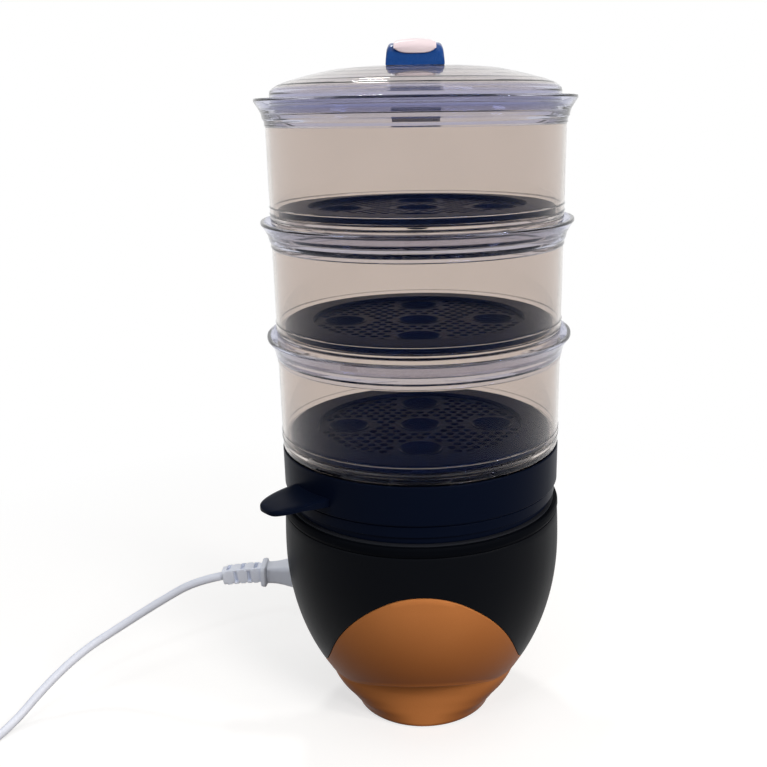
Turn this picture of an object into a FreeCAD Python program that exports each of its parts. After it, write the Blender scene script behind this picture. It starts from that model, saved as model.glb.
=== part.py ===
import FreeCAD, Part
import math
import os

# Electric food steamer: an egg-shaped heating base on a narrow foot, a drip tray, three nesting
# bowls with perforated egg-cup trays, a domed lid and a mains lead with its own connector.
# Millimetres, +Z up. The origin is on the table under the middle of the foot; the front is -Y.

Vector = FreeCAD.Vector
UP = Vector(0, 0, 1)
ORIGIN = Vector(0, 0, 0)

# Fits between pieces
lift_gap = 0.3            # between pieces that lift apart, and round pieces that slide
turn_gap = 0.06           # round the timer shaft
shell_gap = 0.2           # the seam between the two housing shells

# Housing
housing_wall = 3.0
egg_radius = 114.0        # widest half width of the egg
egg_level = 150.0         # height of the widest place
egg_drop = 155.0          # half height of the ellipse under it
seam_level = egg_level + 32.5     # top edge of the housing
seam_radius = egg_radius - 1.2
foot_radius = 58.0
foot_lift = 1.0           # the rubber feet hold the shell off the table by this
lobe_width = 81.0         # half width of the pedestal between its two hand grips
grip_depth = 60.2         # half depth of the pedestal at the hand grips
lobe_squareness = 2.5     # 2 makes the pedestal's section an ellipse, and more fills its corners
lobe_level = 45.0
foot_shape = (            # share of the way up to the lobes, of their width, and of the grips' depth
    (0.0, 0.0, 0.0), (0.16, 0.07, 0.05), (0.32, 0.26, 0.15), (0.55, 0.68, 0.4), (0.77, 0.91, 0.7),
)
waist_shape = (           # share of the way from the lobes to the lip, and of the flare beside and before
    (0.0, 0.0, 0.0), (0.4, 0.04, 0.1), (0.75, 0.12, 0.4), (1.2, 0.24, 1.0),
)
oval_points = 24
lip_level = 63.5          # lower lip of the belly at the front
lip_end_level = 46.5      # the lip runs out at the sides here
lip_half_width = 73.0
lip_shape = ((0.0, 1.0), (0.3, 0.93), (0.62, 0.68), (0.8, 0.22), (1.0, 0.03), (1.25, 0.0))
grip_flare = 16.0         # the pedestal widens by this as it meets the lip
arch_level = egg_level + 1.0      # top of the copper belly at the front
arch_end_level = 48.0     # the seam runs out at the sides just above this
arch_shape = (            # degrees from the front, share of the seam's rise
    (0, 1.0), (10, 0.967), (20, 0.862), (30, 0.697), (40, 0.476), (46, 0.335),
    (52, 0.223), (58, 0.141), (64, 0.092), (75, 0.044), (90, 0.019),
)
lap_height = 5.0          # tongue of the lower shell behind the upper one
lap_wall = 1.6

# Collar, reservoir and heating parts
collar_height = 7.9
collar_radius = seam_radius + 0.5
collar_lip = 6.5
collar_wall = 2.0
flange_wall = 1.2
reservoir_radius = seam_radius - 5.5
reservoir_floor_radius = reservoir_radius - 15.3
reservoir_floor = seam_level - 54.9
reservoir_wall = 2.4
well_radius = 39.0
seal_height = 1.2
plate_radius = 46.0
plate_wall = 1.2
plate_dish = 3.2
element_radius = 26.0
element_tube = 4.0
element_leg = 16.0
element_opening = 40.0    # degrees left open between its two ends
spade_blade = (0.8, 5.0, 8.0)     # the flat blades that the inner wires are pushed on
clamp_wall = 2.0
clamp_screw_circle = 42.6
thermostat_radius = 9.0
thermostat_height = 7.0
fuse_radius = 2.6
fuse_length = 18.0
sleeve_radius = 52.0
sleeve_top_radius = 45.0
sleeve_height = 22.0
sleeve_wall = 2.0
sleeve_gate = (8.0, 12.0, 8.0)    # the openings in its foot that let water in

# Foot
base_plate_wall = 2.5
base_plate_recess = 3.0
base_plate_gap = 0.4
foot_pad_radius = 6.0
foot_pad_circle = 44.0
base_screw_circle = 50.0
boss_radius = 5.6
boss_height = 14.0
air_slot = (26.0, 3.0, 10.0)
air_slot_pitch = 7.0
terminal_size = (34.0, 14.0, 12.0)
terminal_place = -24.0
terminal_pitch = 11.0

# Timer and pilot lamp, on the back
timer_level = egg_level - 51.0
timer_seat = egg_radius - 15.0    # distance of the dial's seat from the egg's axis
dial_radius = 25.5
dial_wall = 3.0
timer_size = 40.0
timer_depth = 24.0
knob_radius = 22.0
knob_height = 15.0
knob_skirt = 3.0
knob_grip_width = 9.0
shaft_radius = 3.0
shaft_depth = 12.0
timer_screw_spacing = 30.0
lamp_level = egg_level - 11.0
lamp_radius = 3.5
lamp_depth = 11.0

# Inlet on the left, and the lead's connector
inlet_y = 18.0
inlet_level = egg_level - 42.0
inlet_seat = egg_radius - 13.0    # distance of the inlet's seat from the egg's axis
inlet_width = 24.0
inlet_height = 16.0
inlet_depth = 15.0
inlet_wall = 2.5
inlet_play = 0.5
inlet_corner = 2.0
pocket_room = 3.0         # round the connector's wide end, in both directions together
pocket_depth = 40.0       # more than enough to run out of the egg's side
pin_length = 12.0
pin_width = 4.0
pin_wall = 2.0
pin_spread = 7.0
connector_width = 28.0
connector_height = 21.0
connector_corner = 4.0
connector_length = 39.7
neck_width = 17.2
neck_height = 14.4
guard_width = 24.0
guard_height = 19.6
guard_length = 5.5
relief_width = 14.0
relief_end_width = 13.2
relief_corner = 3.0
relief_length = 34.0
relief_droop = 9.0        # the cord's weight bends the strain relief by this angle
relief_slot = 2.7
relief_slot_depth = 3.4
relief_side_slots = (0.31, 0.654)           # places along it of the slots at its sides
relief_cross_slots = (0.145, 0.477, 0.834)  # and of those on its top and underside

# Drip tray
drip_proud = 0.2          # the tray's ring stands out from the bowls by this
drip_band_inset = 1.8
drip_band_height = 15.7
drip_height = 46.2
drip_wall = 2.4
drip_foot_inset = 2.3     # from the edge of the reservoir's flange to the tray's foot
drip_foot_height = 5.6
drip_floor_depth = 16.0
chimney_radius = 26.0
chimney_height = 34.0
chimney_slots = 8
chimney_slot = (14.0, 9.0, 15.0)
tab_reach = 40.2          # from the drip tray's ring to the tip
tab_width = 46.0
tab_squareness = 2.6      # the tab's plan is an ellipse at 2, and blunter above that
tab_wall = 3.0
tab_root_wall = 7.0
tab_root = 11.2           # the tab's curve starts this far inside the ring
tab_rise = 14.0           # from the band's top to the tab's upper face
tab_droop = 3.0
tab_angle = 221.0

# Bowls
bowl_radius = egg_radius - 2.4
bowl_wall = 2.4
bowl_pitch = 87.3
nest_depth = 10.0
skirt_height = 6.6
skirt_inset = 2.1
flare_height = 19.4
rim_flare = 7.7
tray_ledge_level = 14.0
tray_ledge_width = 9.2
tray_ledge_wall = 2.6
bowl_count = 3

# Trays
tray_inset = 6.6          # from the bowl's outside to the tray's edge
tray_height = 6.1
tray_wall = 2.2
tray_land_width = 22.0
tray_step = 3.5
cup_radius = 16.0
cup_depth = 6.5
cup_circle = 58.5
cup_count = 4
hole_radius = 3.3
hole_rings = ((52.5, 14.0, 3), (64.0, 12.0, 4), (75.0, 10.0, 5))   # radius, step in degrees, count
hole_sides = 8

# Lid
lid_inset = 4.1           # from the bowl's outside to the lid's edge
lid_wall = 2.2
lid_skirt_height = 8.0
lid_edge_height = 14.0
lid_rise = 19.0
handle_width = 44.0
handle_top_width = 38.7
handle_length = 112.0
handle_height = 16.0
grip_height = 9.0
grip_length = 66.0
inset_width = 32.0
inset_length = 104.0
inset_rise = 2.2
inset_wall = 3.0
vent_radius = 2.0
vent_spread = 34.0        # from the lid's axis to each vent

# Cord: points chosen along its route, from the strain relief to the coil and on to the plug
cord_diameter = 7.3
coil_centre = Vector(-462.0, -102.5, 0)
coil_radius = 38.0
plug_radius = 18.0
plug_length = 21.0
plug_neck_length = 15.0
plug_neck_radius = 6.5
plug_pin_radius = 2.4
plug_pin_length = 19.0
plug_pin_spacing = 19.0
plug_heading = 68.0

# Base plate, feet and screws
screw_core = 1.25
screw_play = 0.12

# Levels that follow from the sizes above
collar_top = seam_level + collar_height
flange_top = collar_top + flange_wall
drip_bottom = flange_top + lift_gap
drip_top = drip_bottom + drip_height
drip_step = drip_bottom + drip_band_height
drip_radius = bowl_radius + drip_proud
drip_band_radius = drip_radius - drip_band_inset
drip_foot_radius = reservoir_radius + collar_wall - drip_foot_inset
drip_ledge = drip_top - skirt_height + lift_gap
tab_level = drip_step + tab_rise
first_bowl = drip_ledge + lift_gap
bowl_height = bowl_pitch + nest_depth
bowl_skirt_room = skirt_inset - lift_gap
rim_radius = bowl_radius + rim_flare
tray_ledge_radius = bowl_radius - bowl_wall - tray_ledge_width
tray_radius = bowl_radius - tray_inset
tray_land_radius = tray_radius - tray_land_width
lid_radius = bowl_radius - lid_inset
floor_top = reservoir_floor + reservoir_wall
plate_rim = floor_top + seal_height
plate_bottom = plate_rim - plate_dish - plate_wall
base_plate_top = base_plate_recess + base_plate_wall
nose_radius = shaft_radius + 2.0
lid_seat = first_bowl + bowl_count * bowl_pitch
handle_seat = lid_seat + lid_edge_height + lid_rise


# Shapes in general
def at(radius, level):
    return Vector(radius, 0, level)


def outline(steps):
    """A face in the XZ plane. A step is a corner, or a pair of points for an arc (middle, end)."""
    here = at(*steps[0])
    edges = []
    for step in list(steps[1:]) + [steps[0]]:
        if isinstance(step[0], tuple):
            end = at(*step[1])
            edges.append(Part.Arc(here, at(*step[0]), end).toShape())
        else:
            end = at(*step)
            edges.append(Part.makeLine(here, end))
        here = end
    return Part.Face(Part.Wire(edges))


def turned(steps):
    """The outline turned round the Z axis."""
    return outline(steps).revolve(ORIGIN, UP, 360)


def disc(radius, height, centre, direction=UP):
    return Part.makeCylinder(radius, height, Vector(*centre), direction)


def block(size, centre):
    return Part.makeBox(*size, Vector(*centre) - Vector(*size) * 0.5)


def round_block(size, centre, radius, axis):
    """A block with the four edges along one axis (0, 1 or 2) rounded."""
    solid = block(size, centre)
    along = [e for e in solid.Edges if abs(abs(e.tangentAt(e.FirstParameter)[axis]) - 1) < 1e-6]
    return solid.makeFillet(radius, along)


def around(shape, count, first=0.0, axis=UP):
    """Copies of a shape, evenly turned round an axis through the origin."""
    copies = []
    for step in range(count):
        copy = shape.copy()
        copy.rotate(ORIGIN, axis, first + step * 360.0 / count)
        copies.append(copy)
    return copies


def spun(shape, angle):
    copy = shape.copy()
    copy.rotate(ORIGIN, UP, angle)
    return copy


def moved(shape, x=0.0, y=0.0, z=0.0):
    copy = shape.copy()
    copy.translate(Vector(x, y, z))
    return copy


def joined(shapes):
    shapes = list(shapes)
    return shapes[0].multiFuse(shapes[1:]).removeSplitter()


def screw(head_radius, head_height, radius, length):
    """A pan-head screw that points up from the origin, its head below."""
    head = disc(head_radius, head_height, (0, 0, -head_height))
    shank = disc(radius, length, (0, 0, 0))
    return head.fuse(shank).removeSplitter()


# Housing
def egg_width(level, inset=0.0):
    """Radius of the egg, or of its offset, at a level under its widest place."""
    share = (egg_level - level) / (egg_drop - inset)
    return (egg_radius - inset) * math.sqrt(1 - share ** 2)


def egg(inset=0.0, top=seam_level):
    """The egg above the lip's end, as a solid of revolution; inset makes the inside of a shell."""
    bottom = lip_end_level - 0.5
    middle = 0.5 * (egg_level + bottom)
    upper = 0.5 * (egg_level + seam_level)
    taper = 0.25 * (egg_radius - seam_radius)
    points = [at(egg_width(bottom + step * (egg_level - bottom) / 6, inset), 0) for step in range(7)]
    for step, point in enumerate(points):
        point.z = bottom + step * (egg_level - bottom) / 6
    curve = Part.BSplineCurve()
    curve.interpolate(points, InitialTangent=egg_slope(bottom, inset), FinalTangent=UP)
    side = curve.toShape()
    widest = at(egg_radius - inset, egg_level)
    shoulder = Part.Arc(widest, at(egg_radius - inset - taper, upper), at(seam_radius - inset, seam_level))
    corner = at(seam_radius - inset, seam_level)
    edges = [Part.makeLine(at(0, bottom), points[0]), side, shoulder.toShape()]
    if top > seam_level:
        edges.append(Part.makeLine(corner, at(seam_radius - inset, top)))
        corner = at(seam_radius - inset, top)
    edges.append(Part.makeLine(corner, at(0, top)))
    edges.append(Part.makeLine(at(0, top), at(0, bottom)))
    return Part.Face(Part.Wire(edges)).revolve(ORIGIN, UP, 360)


def egg_slope(level, inset):
    """Direction of the egg's outline at a level."""
    rise = 0.1
    step = at(egg_width(level + rise, inset) - egg_width(level, inset), rise)
    return step.normalize()


def under(points, shift=0.0):
    """All that lies below a curve of (x, z) points, carried straight through from front to back."""
    depth = 2 * egg_radius
    mirrored = [(-x, z) for x, z in reversed(points) if x > 0]
    curve = Part.BSplineCurve()
    curve.interpolate([Vector(x, -depth, z + shift) for x, z in mirrored + points])
    left = Vector(-points[-1][0], -depth, -egg_radius)
    right = Vector(points[-1][0], -depth, -egg_radius)
    edges = [curve.toShape(), Part.makeLine(curve.EndPoint, right), Part.makeLine(right, left)]
    edges.append(Part.makeLine(left, curve.StartPoint))
    return Part.Face(Part.Wire(edges)).extrude(Vector(0, 2 * depth, 0))


def arch(shift=0.0):
    """Everything under the seam between the dark shell and the copper one."""
    points = []
    for angle, share in arch_shape:
        level = arch_end_level + (arch_level - arch_end_level) * share
        points.append((egg_width(level) * math.sin(math.radians(angle)), level))
    return under(points + [(egg_radius + housing_wall, arch_end_level)], shift)


def below_lip(shift=0.0):
    """Everything under the belly's lower lip, which is highest at the front and the back."""
    rise = lip_level - lip_end_level
    points = [(lip_half_width * x, lip_end_level + rise * z) for x, z in lip_shape]
    return under(points + [(egg_radius + housing_wall, lip_end_level)], shift)


def oval(level, half_width, half_depth, squareness):
    """A smooth closed curve: an ellipse where squareness is 2, and fuller in its corners above that."""
    points = []
    for step in range(oval_points):
        angle = math.radians(360.0 * (step + 0.5) / oval_points)
        across = abs(math.cos(angle) / half_width) ** squareness
        along = abs(math.sin(angle) / half_depth) ** squareness
        reach = (across + along) ** (-1.0 / squareness)
        points.append(Vector(reach * math.cos(angle), reach * math.sin(angle), level))
    curve = Part.BSplineCurve()
    curve.interpolate(points, PeriodicFlag=True)
    return Part.Wire(curve.toShape())


def pedestal(inset=0.0):
    """The foot column: round on the table, wide at the sides, and hollowed front and back."""
    more = lobe_squareness - 2.0
    rings = []
    for height, side, front in foot_shape:
        level = foot_lift + (lobe_level - foot_lift) * height
        half_width = foot_radius + (lobe_width - foot_radius) * side
        half_depth = foot_radius + (grip_depth - foot_radius) * front
        rings.append((level, half_width, half_depth, 2.0 + more * min(1.0, 3.2 * height)))
    for height, side, front in waist_shape:
        level = lobe_level + (lip_level + inset - lobe_level) * height
        half_width = lobe_width + grip_flare * side
        rings.append((level, half_width, grip_depth + grip_flare * front, 2.0 + more * (1.0 - 0.5 * front)))
    wires = [oval(level, width - inset, depth - inset, square) for level, width, depth, square in rings]
    return Part.makeLoft(wires, True, False)


def copper_shell():
    """The lower housing: belly, lip and foot in one moulding, open below for the base plate."""
    outer = egg().cut(below_lip()).common(arch(-shell_gap)).fuse(pedestal())
    inner = egg(housing_wall).cut(below_lip(housing_wall)).fuse(pedestal(housing_wall))
    shell = outer.cut(inner).fuse(seam_tongue())
    shell = shell.fuse(along_y(dial_radius + dial_wall, timer_seat - dial_wall, egg_radius).common(outer))
    shell = shell.cut(along_y(dial_radius, timer_seat, egg_radius + 1))
    shell = shell.cut(along_y(nose_radius + lift_gap, timer_seat - dial_wall - 1, timer_seat + 1))
    shell = shell.cut(lamp_hole()).cut(timer_screws(screw_play))
    boss = disc(boss_radius, boss_height, (base_screw_circle, 0, base_plate_top))
    rib = block((lobe_width - base_screw_circle, housing_wall, boss_height), (0, 0, 0))
    rib = moved(rib, 0.5 * (lobe_width + base_screw_circle), 0, base_plate_top + 0.5 * boss_height)
    bosses = Part.makeCompound(around(boss.fuse(rib), 4)).common(pedestal(0.5 * housing_wall))
    return shell.fuse(bosses).cut(base_screws(screw_play)).removeSplitter()


def seam_tongue():
    """The tongue that stands up from the lower shell behind the edge of the upper one."""
    behind = housing_wall + lift_gap
    hollow = egg(behind + lap_wall, seam_level + 1)
    root = egg(0.5 * housing_wall).cut(hollow).common(arch(-shell_gap))
    tongue = egg(behind).cut(hollow).common(arch(lap_height))
    return root.fuse(tongue).cut(arch(-lap_height)).cut(below_lip(housing_wall))


def base_body():
    """The upper housing: the dark shell from the seam with the copper up to the collar."""
    solid = egg()
    seat = round_block(pocket_size(2 * inlet_wall), pocket_centre(inlet_seat - inlet_wall), 6.0, 0)
    shell = solid.cut(egg(housing_wall, seam_level + 1)).fuse(seat.common(solid))
    shell = shell.cut(round_block(pocket_size(0), pocket_centre(inlet_seat), 4.0, 0))
    mouth = (pocket_depth, inlet_width + 2 * inlet_play, inlet_height + 2 * inlet_play)
    shell = shell.cut(round_block(mouth, (-inlet_seat, inlet_y, inlet_level), inlet_corner, 0))
    return shell.cut(arch()).removeSplitter()


def along_y(radius, start, end, x=0.0, level=None):
    """A cylinder along Y between two distances from the egg's axis, at the timer's level by default."""
    level = timer_level if level is None else level
    return Part.makeCylinder(radius, end - start, Vector(x, start, level), Vector(0, 1, 0))


def pocket_size(extra):
    """The flat-bottomed pocket round the connector's wide end."""
    return (pocket_depth, connector_width + pocket_room + extra, connector_height + pocket_room + extra)


def pocket_centre(seat):
    return (-seat - 0.5 * pocket_depth, inlet_y, inlet_level)


def base_collar():
    """The ring that closes the housing's top edge and carries the reservoir's flange."""
    inner = seam_radius - housing_wall - lift_gap
    bore = inner - collar_wall
    belly = (collar_radius, seam_level + 0.5 * collar_height)
    return turned([
        (bore, seam_level - collar_lip), (inner, seam_level - collar_lip), (inner, seam_level),
        (seam_radius, seam_level), (belly, (seam_radius - 0.4, collar_top)), (bore, collar_top),
    ])


# Reservoir and heating
def reservoir():
    """The water bowl: a flange on the collar, a sloping wall and a flat floor round the well."""
    flange = reservoir_radius + collar_wall
    inner = reservoir_radius - reservoir_wall
    heel = reservoir_floor_radius + 6.0
    bowl = turned([
        (well_radius, reservoir_floor), (reservoir_floor_radius, reservoir_floor),
        ((heel - 0.9, reservoir_floor + 3.2), (heel + 1.0, reservoir_floor + 10.0)),
        (reservoir_radius, collar_top), (flange, collar_top), (flange, flange_top), (inner, flange_top),
        (heel - 1.4, floor_top + 8.4),
        ((heel - 3.2, floor_top + 2.6), (reservoir_floor_radius - 1.4, floor_top)), (well_radius, floor_top),
    ])
    return bowl.cut(clamp_screws(screw_play))


def reservoir_seal():
    ring = turned([
        (well_radius + 0.8, floor_top), (plate_radius, floor_top),
        (plate_radius, plate_rim), (well_radius + 0.8, plate_rim),
    ])
    return ring.cut(clamp_screws(screw_play))


def heating_plate():
    """A dished steel plate: the rim is clamped on the seal, the dish hangs in the floor's well."""
    shoulder = well_radius - 1.5
    plate = turned([
        (0, plate_bottom), (shoulder - 3.5, plate_bottom), (shoulder, plate_rim), (plate_radius, plate_rim),
        (plate_radius, plate_rim + plate_wall), (shoulder - 0.7, plate_rim + plate_wall),
        (shoulder - 4.2, plate_bottom + plate_wall), (0, plate_bottom + plate_wall),
    ])
    return plate.cut(clamp_screws(screw_play))


def heating_element():
    """A bent tube under the plate, nearly a full turn, its two cold ends pointing down."""
    level = plate_bottom - element_tube
    end = level - element_leg
    ring = Part.makeTorus(element_radius, element_tube, at(0, level), UP, -180, 180, 360 - element_opening)
    pieces = [ring]
    for angle in (2.0, -element_opening - 2.0):
        leg = disc(0.9 * element_tube, element_leg, (element_radius, 0, end))
        blade = block(spade_blade, (element_radius, 0, end - 0.5 * spade_blade[2]))
        pieces += [spun(solid, angle) for solid in (leg, blade)]
    return joined(pieces)


def clamp_ring():
    """The steel ring under the reservoir's floor that the heating plate is screwed to."""
    ring = turned([
        (well_radius + 0.8, reservoir_floor - clamp_wall), (plate_radius + 3.0, reservoir_floor - clamp_wall),
        (plate_radius + 3.0, reservoir_floor), (well_radius + 0.8, reservoir_floor),
    ])
    return ring.cut(clamp_screws(screw_play))


def clamp_screws(play=0.0):
    """Four screws from the clamp ring through floor and seal into the plate; play makes their holes."""
    reach = clamp_wall + reservoir_wall + seal_height + 0.6 * plate_wall
    one = screw(2.8 + play, 2.0, 1.5 + play, reach + play)
    return Part.makeCompound(around(moved(one, clamp_screw_circle, 0, reservoir_floor - clamp_wall), 4, 45.0))


def thermostat():
    """The snap disc that stops the element when the plate boils dry, with its two blades."""
    low = plate_bottom - thermostat_height
    body = disc(thermostat_radius, thermostat_height, (0, 0, low))
    blades = [block(spade_blade, (x, 0, low - 0.5 * spade_blade[2])) for x in (-5.0, 5.0)]
    return joined([body] + blades)


def thermal_fuse():
    """A small one-shot fuse that lies along the underside of the plate."""
    between = 0.5 * (element_radius - element_tube + thermostat_radius)
    end = (-0.5 * fuse_length, between, plate_bottom - fuse_radius)
    return disc(fuse_radius, fuse_length, end, Vector(1, 0, 0))


def steam_sleeve():
    """The loose cone that stands round the plate and makes a little water boil quickly."""
    top = floor_top + sleeve_height
    cone = turned([
        (sleeve_radius - sleeve_wall, floor_top), (sleeve_radius, floor_top), (sleeve_top_radius, top),
        (sleeve_top_radius - sleeve_wall, top),
    ])
    gate = block(sleeve_gate, (sleeve_radius, 0, floor_top))
    return cone.cut(Part.makeCompound(around(gate, 4)))


# Foot
def base_plate():
    """The bottom cover, sunk in the foot, with air slots and holes for its screws."""
    plate = disc(foot_radius - housing_wall - base_plate_gap, base_plate_wall, (0, 0, base_plate_recess))
    slot = round_block(air_slot, (0, 0, base_plate_recess), 0.47 * air_slot[1], 2)
    slots = [moved(slot, 0, step * air_slot_pitch) for step in (-2, -1, 0, 1, 2)]
    return plate.cut(Part.makeCompound(slots)).cut(base_screws(screw_play))


def base_screws(play=0.0):
    """Four screws through the bottom cover into the bosses of the lower shell."""
    one = screw(3.4 + play, 2.2, screw_core + play, base_plate_wall + 9.0 + play)
    return Part.makeCompound(around(moved(one, base_screw_circle, 0, base_plate_recess), 4))


def rubber_feet():
    pad = disc(foot_pad_radius, base_plate_recess, (0, 0, 0))
    pad = pad.makeChamfer(0.8, [edge for edge in pad.Edges if edge.BoundBox.ZMax < 0.01])
    return Part.makeCompound(around(moved(pad, foot_pad_circle), 4, 45.0))


def terminal_block():
    """The block that the inner wires meet in, standing on the bottom cover."""
    high = base_plate_top + terminal_size[2]
    body = round_block(terminal_size, (0, terminal_place, high - 0.5 * terminal_size[2]), 1.5, 2)
    places = (-terminal_pitch, 0.0, terminal_pitch)
    wells = [disc(0.2 * terminal_pitch, 5.0, (x, terminal_place, high - 4.5)) for x in places]
    return body.cut(Part.makeCompound(wells))


# Timer and lamp, at the back
def timer_body():
    """The clockwork timer behind the dial, with the nose that its shaft leaves by."""
    back = timer_seat - dial_wall
    middle = (0, back - 0.5 * timer_depth, timer_level)
    box = round_block((timer_size, timer_depth, timer_size), middle, 4.0, 1)
    body = box.fuse(along_y(nose_radius, back - 1.0, timer_seat - 0.5))
    bore = along_y(shaft_radius + turn_gap, back - shaft_depth, timer_seat)
    return body.cut(bore).cut(timer_screws(screw_play))


def timer_screws(play=0.0):
    """Two sunk screws through the dial's seat into the timer."""
    one = screw(3.0 + play, 1.6, 1.4 + play, 9.0 + play)
    one.rotate(ORIGIN, Vector(1, 0, 0), 90)
    half = 0.5 * timer_screw_spacing
    return Part.makeCompound([moved(one, x, timer_seat - 1.8, timer_level) for x in (-half, half)])


def timer_shaft():
    """The shaft that the knob turns, with a flat where the knob grips it."""
    tip = timer_seat + lift_gap + knob_height - 4.0
    shaft = along_y(shaft_radius, timer_seat - dial_wall - shaft_depth + lift_gap, tip)
    flat = block((2 * shaft_radius, tip - timer_seat - 4.0, shaft_radius), (0, 0, 0))
    return shaft.cut(moved(flat, 0, 0.5 * (tip + timer_seat + 4.0), timer_level + 1.2 * shaft_radius))


def timer_knob():
    """A round skirt with a bar to grip across it, and a blind D-shaped hole for the shaft."""
    start = timer_seat + lift_gap
    skirt = along_y(knob_radius, start, start + knob_skirt)
    skirt = skirt.makeFillet(1.0, [e for e in skirt.Edges if e.BoundBox.YMin > start + knob_skirt - 0.01])
    middle = start + 0.5 * knob_height
    bar = round_block((knob_grip_width, knob_height, 1.8 * knob_radius), (0, middle, timer_level), 3.0, 1)
    crown = [e for e in bar.Edges if e.BoundBox.YMin > start + knob_height - 0.01]
    drum = along_y(0.55 * knob_radius, start, start + 0.6 * knob_height)
    return skirt.fuse(bar.makeFillet(1.2, crown)).fuse(drum).cut(timer_shaft()).removeSplitter()


def lamp_hole():
    return along_y(lamp_radius + 0.1, egg_radius - lamp_depth, egg_radius + 1, 0, lamp_level)


def pilot_lens():
    """The clear red button lens of the heating lamp, standing a little out of the belly."""
    front = egg_width(lamp_level) + 0.8
    lens = along_y(lamp_radius, front - 4.0, front, 0, lamp_level)
    return lens.makeFillet(0.8, [e for e in lens.Edges if e.BoundBox.YMin > front - 0.01])


def pilot_lamp():
    front = egg_width(lamp_level) - 3.2
    return along_y(0.8 * lamp_radius, egg_radius - lamp_depth, front, 0, lamp_level)


# Inlet, at the left
def inlet_socket():
    """The appliance inlet behind the pocket: a box with a deep mouth for the connector's nose."""
    front = inlet_seat - inlet_wall
    size = (inlet_depth + inlet_wall, inlet_width + 2 * inlet_wall + 1.0, inlet_height + 2 * inlet_wall + 1.0)
    body = round_block(size, (-front + 0.5 * size[0], inlet_y, inlet_level), 2.5, 0)
    mouth = (inlet_depth, inlet_width + 2 * inlet_play, inlet_height + 2 * inlet_play)
    return body.cut(round_block(mouth, (-front + 0.5 * inlet_depth, inlet_y, inlet_level), inlet_corner, 0))


def pin_places():
    """The three flat pins: live and neutral at the sides, earth a step higher in the middle."""
    return ((-pin_spread, -2.0), (0.0, 2.0), (pin_spread, -2.0))


def inlet_pins(play=0.0, extra=0.0):
    """Three flat pins standing in the inlet; play and extra make the slots of the connector."""
    root = -(inlet_seat - inlet_wall - inlet_depth)
    length = pin_length + extra
    size = (length, pin_wall + 2 * play, pin_width + 2 * play)
    pins = [block(size, (root - 0.5 * length, inlet_y + y, inlet_level + z)) for y, z in pin_places()]
    return Part.makeCompound(pins)


# Drip tray
def drip_tray():
    """The tray under the bowls: a stepped rim, a trough for juices, a steam chimney and two tabs."""
    inner = drip_radius - bowl_skirt_room
    lip = inner - bowl_wall - 1.0
    band = drip_bottom + drip_foot_height
    heel = reservoir_radius - reservoir_wall - 1.6
    level = drip_bottom - drip_floor_depth
    floor = level + drip_wall
    stack = chimney_radius - drip_wall
    top = level + chimney_height
    shape = turned([
        (drip_foot_radius, drip_bottom), (drip_foot_radius, band), (drip_band_radius, band),
        (drip_band_radius, drip_step), (drip_radius, drip_step),
        (drip_radius, drip_top), (inner, drip_top), (inner, drip_ledge), (lip, drip_ledge),
        (lip, drip_ledge - drip_wall), (drip_radius - drip_wall, drip_ledge - drip_wall - 3.0),
        (drip_radius - drip_wall, drip_step + drip_wall), (drip_band_radius - drip_wall, drip_step),
        (drip_band_radius - drip_wall, band + drip_wall), (drip_foot_radius - drip_wall, band + drip_wall),
        (drip_foot_radius - drip_wall, drip_bottom + drip_wall), (heel - drip_wall, drip_bottom + drip_wall),
        (heel - 4.0 - drip_wall, floor), (chimney_radius + 2.0, floor), (chimney_radius - 1.0, top),
        (0.5 * chimney_radius, top + 4.0), (0, top + 4.0), (0, top + 4.0 - drip_wall),
        (0.46 * chimney_radius, top + 4.0 - drip_wall), (stack - 1.0, top - drip_wall), (stack + 2.0, level),
        (heel - 4.0, level), (heel, drip_bottom),
    ])
    slot = round_block(chimney_slot, (chimney_radius, 0, top - 0.8 * chimney_slot[2]), 3.0, 0)
    shape = shape.cut(Part.makeCompound(around(slot, chimney_slots)))
    tabs = around(lift_tab(), 2, tab_angle)
    return joined([shape] + tabs)


def lift_tab():
    """A broad blunt tongue pointing along +X that the hot drip tray is carried by."""
    root = drip_radius - tab_root
    tip = drip_radius + tab_reach
    level = tab_level - tab_droop
    side = outline([
        (root, tab_level), (drip_radius, tab_level),
        ((drip_radius + 0.5 * tab_reach, tab_level - 0.6 * tab_droop), (tip, level)), (tip, level - tab_wall),
        (drip_radius + 0.3 * tab_reach, tab_level - tab_root_wall), (root, tab_level - tab_root_wall),
    ])
    tongue = moved(side, 0, -0.5 * tab_width).extrude(Vector(0, tab_width, 0))
    plan = moved(Part.Face(oval(0, tip - root, 0.5 * tab_width, tab_squareness)), root)
    stamp = plan.extrude(Vector(0, 0, 2 * tab_level))
    return tongue.common(stamp).cut(disc(drip_radius - 0.4 * drip_wall, 2 * tab_level, (0, 0, 0)))


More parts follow.
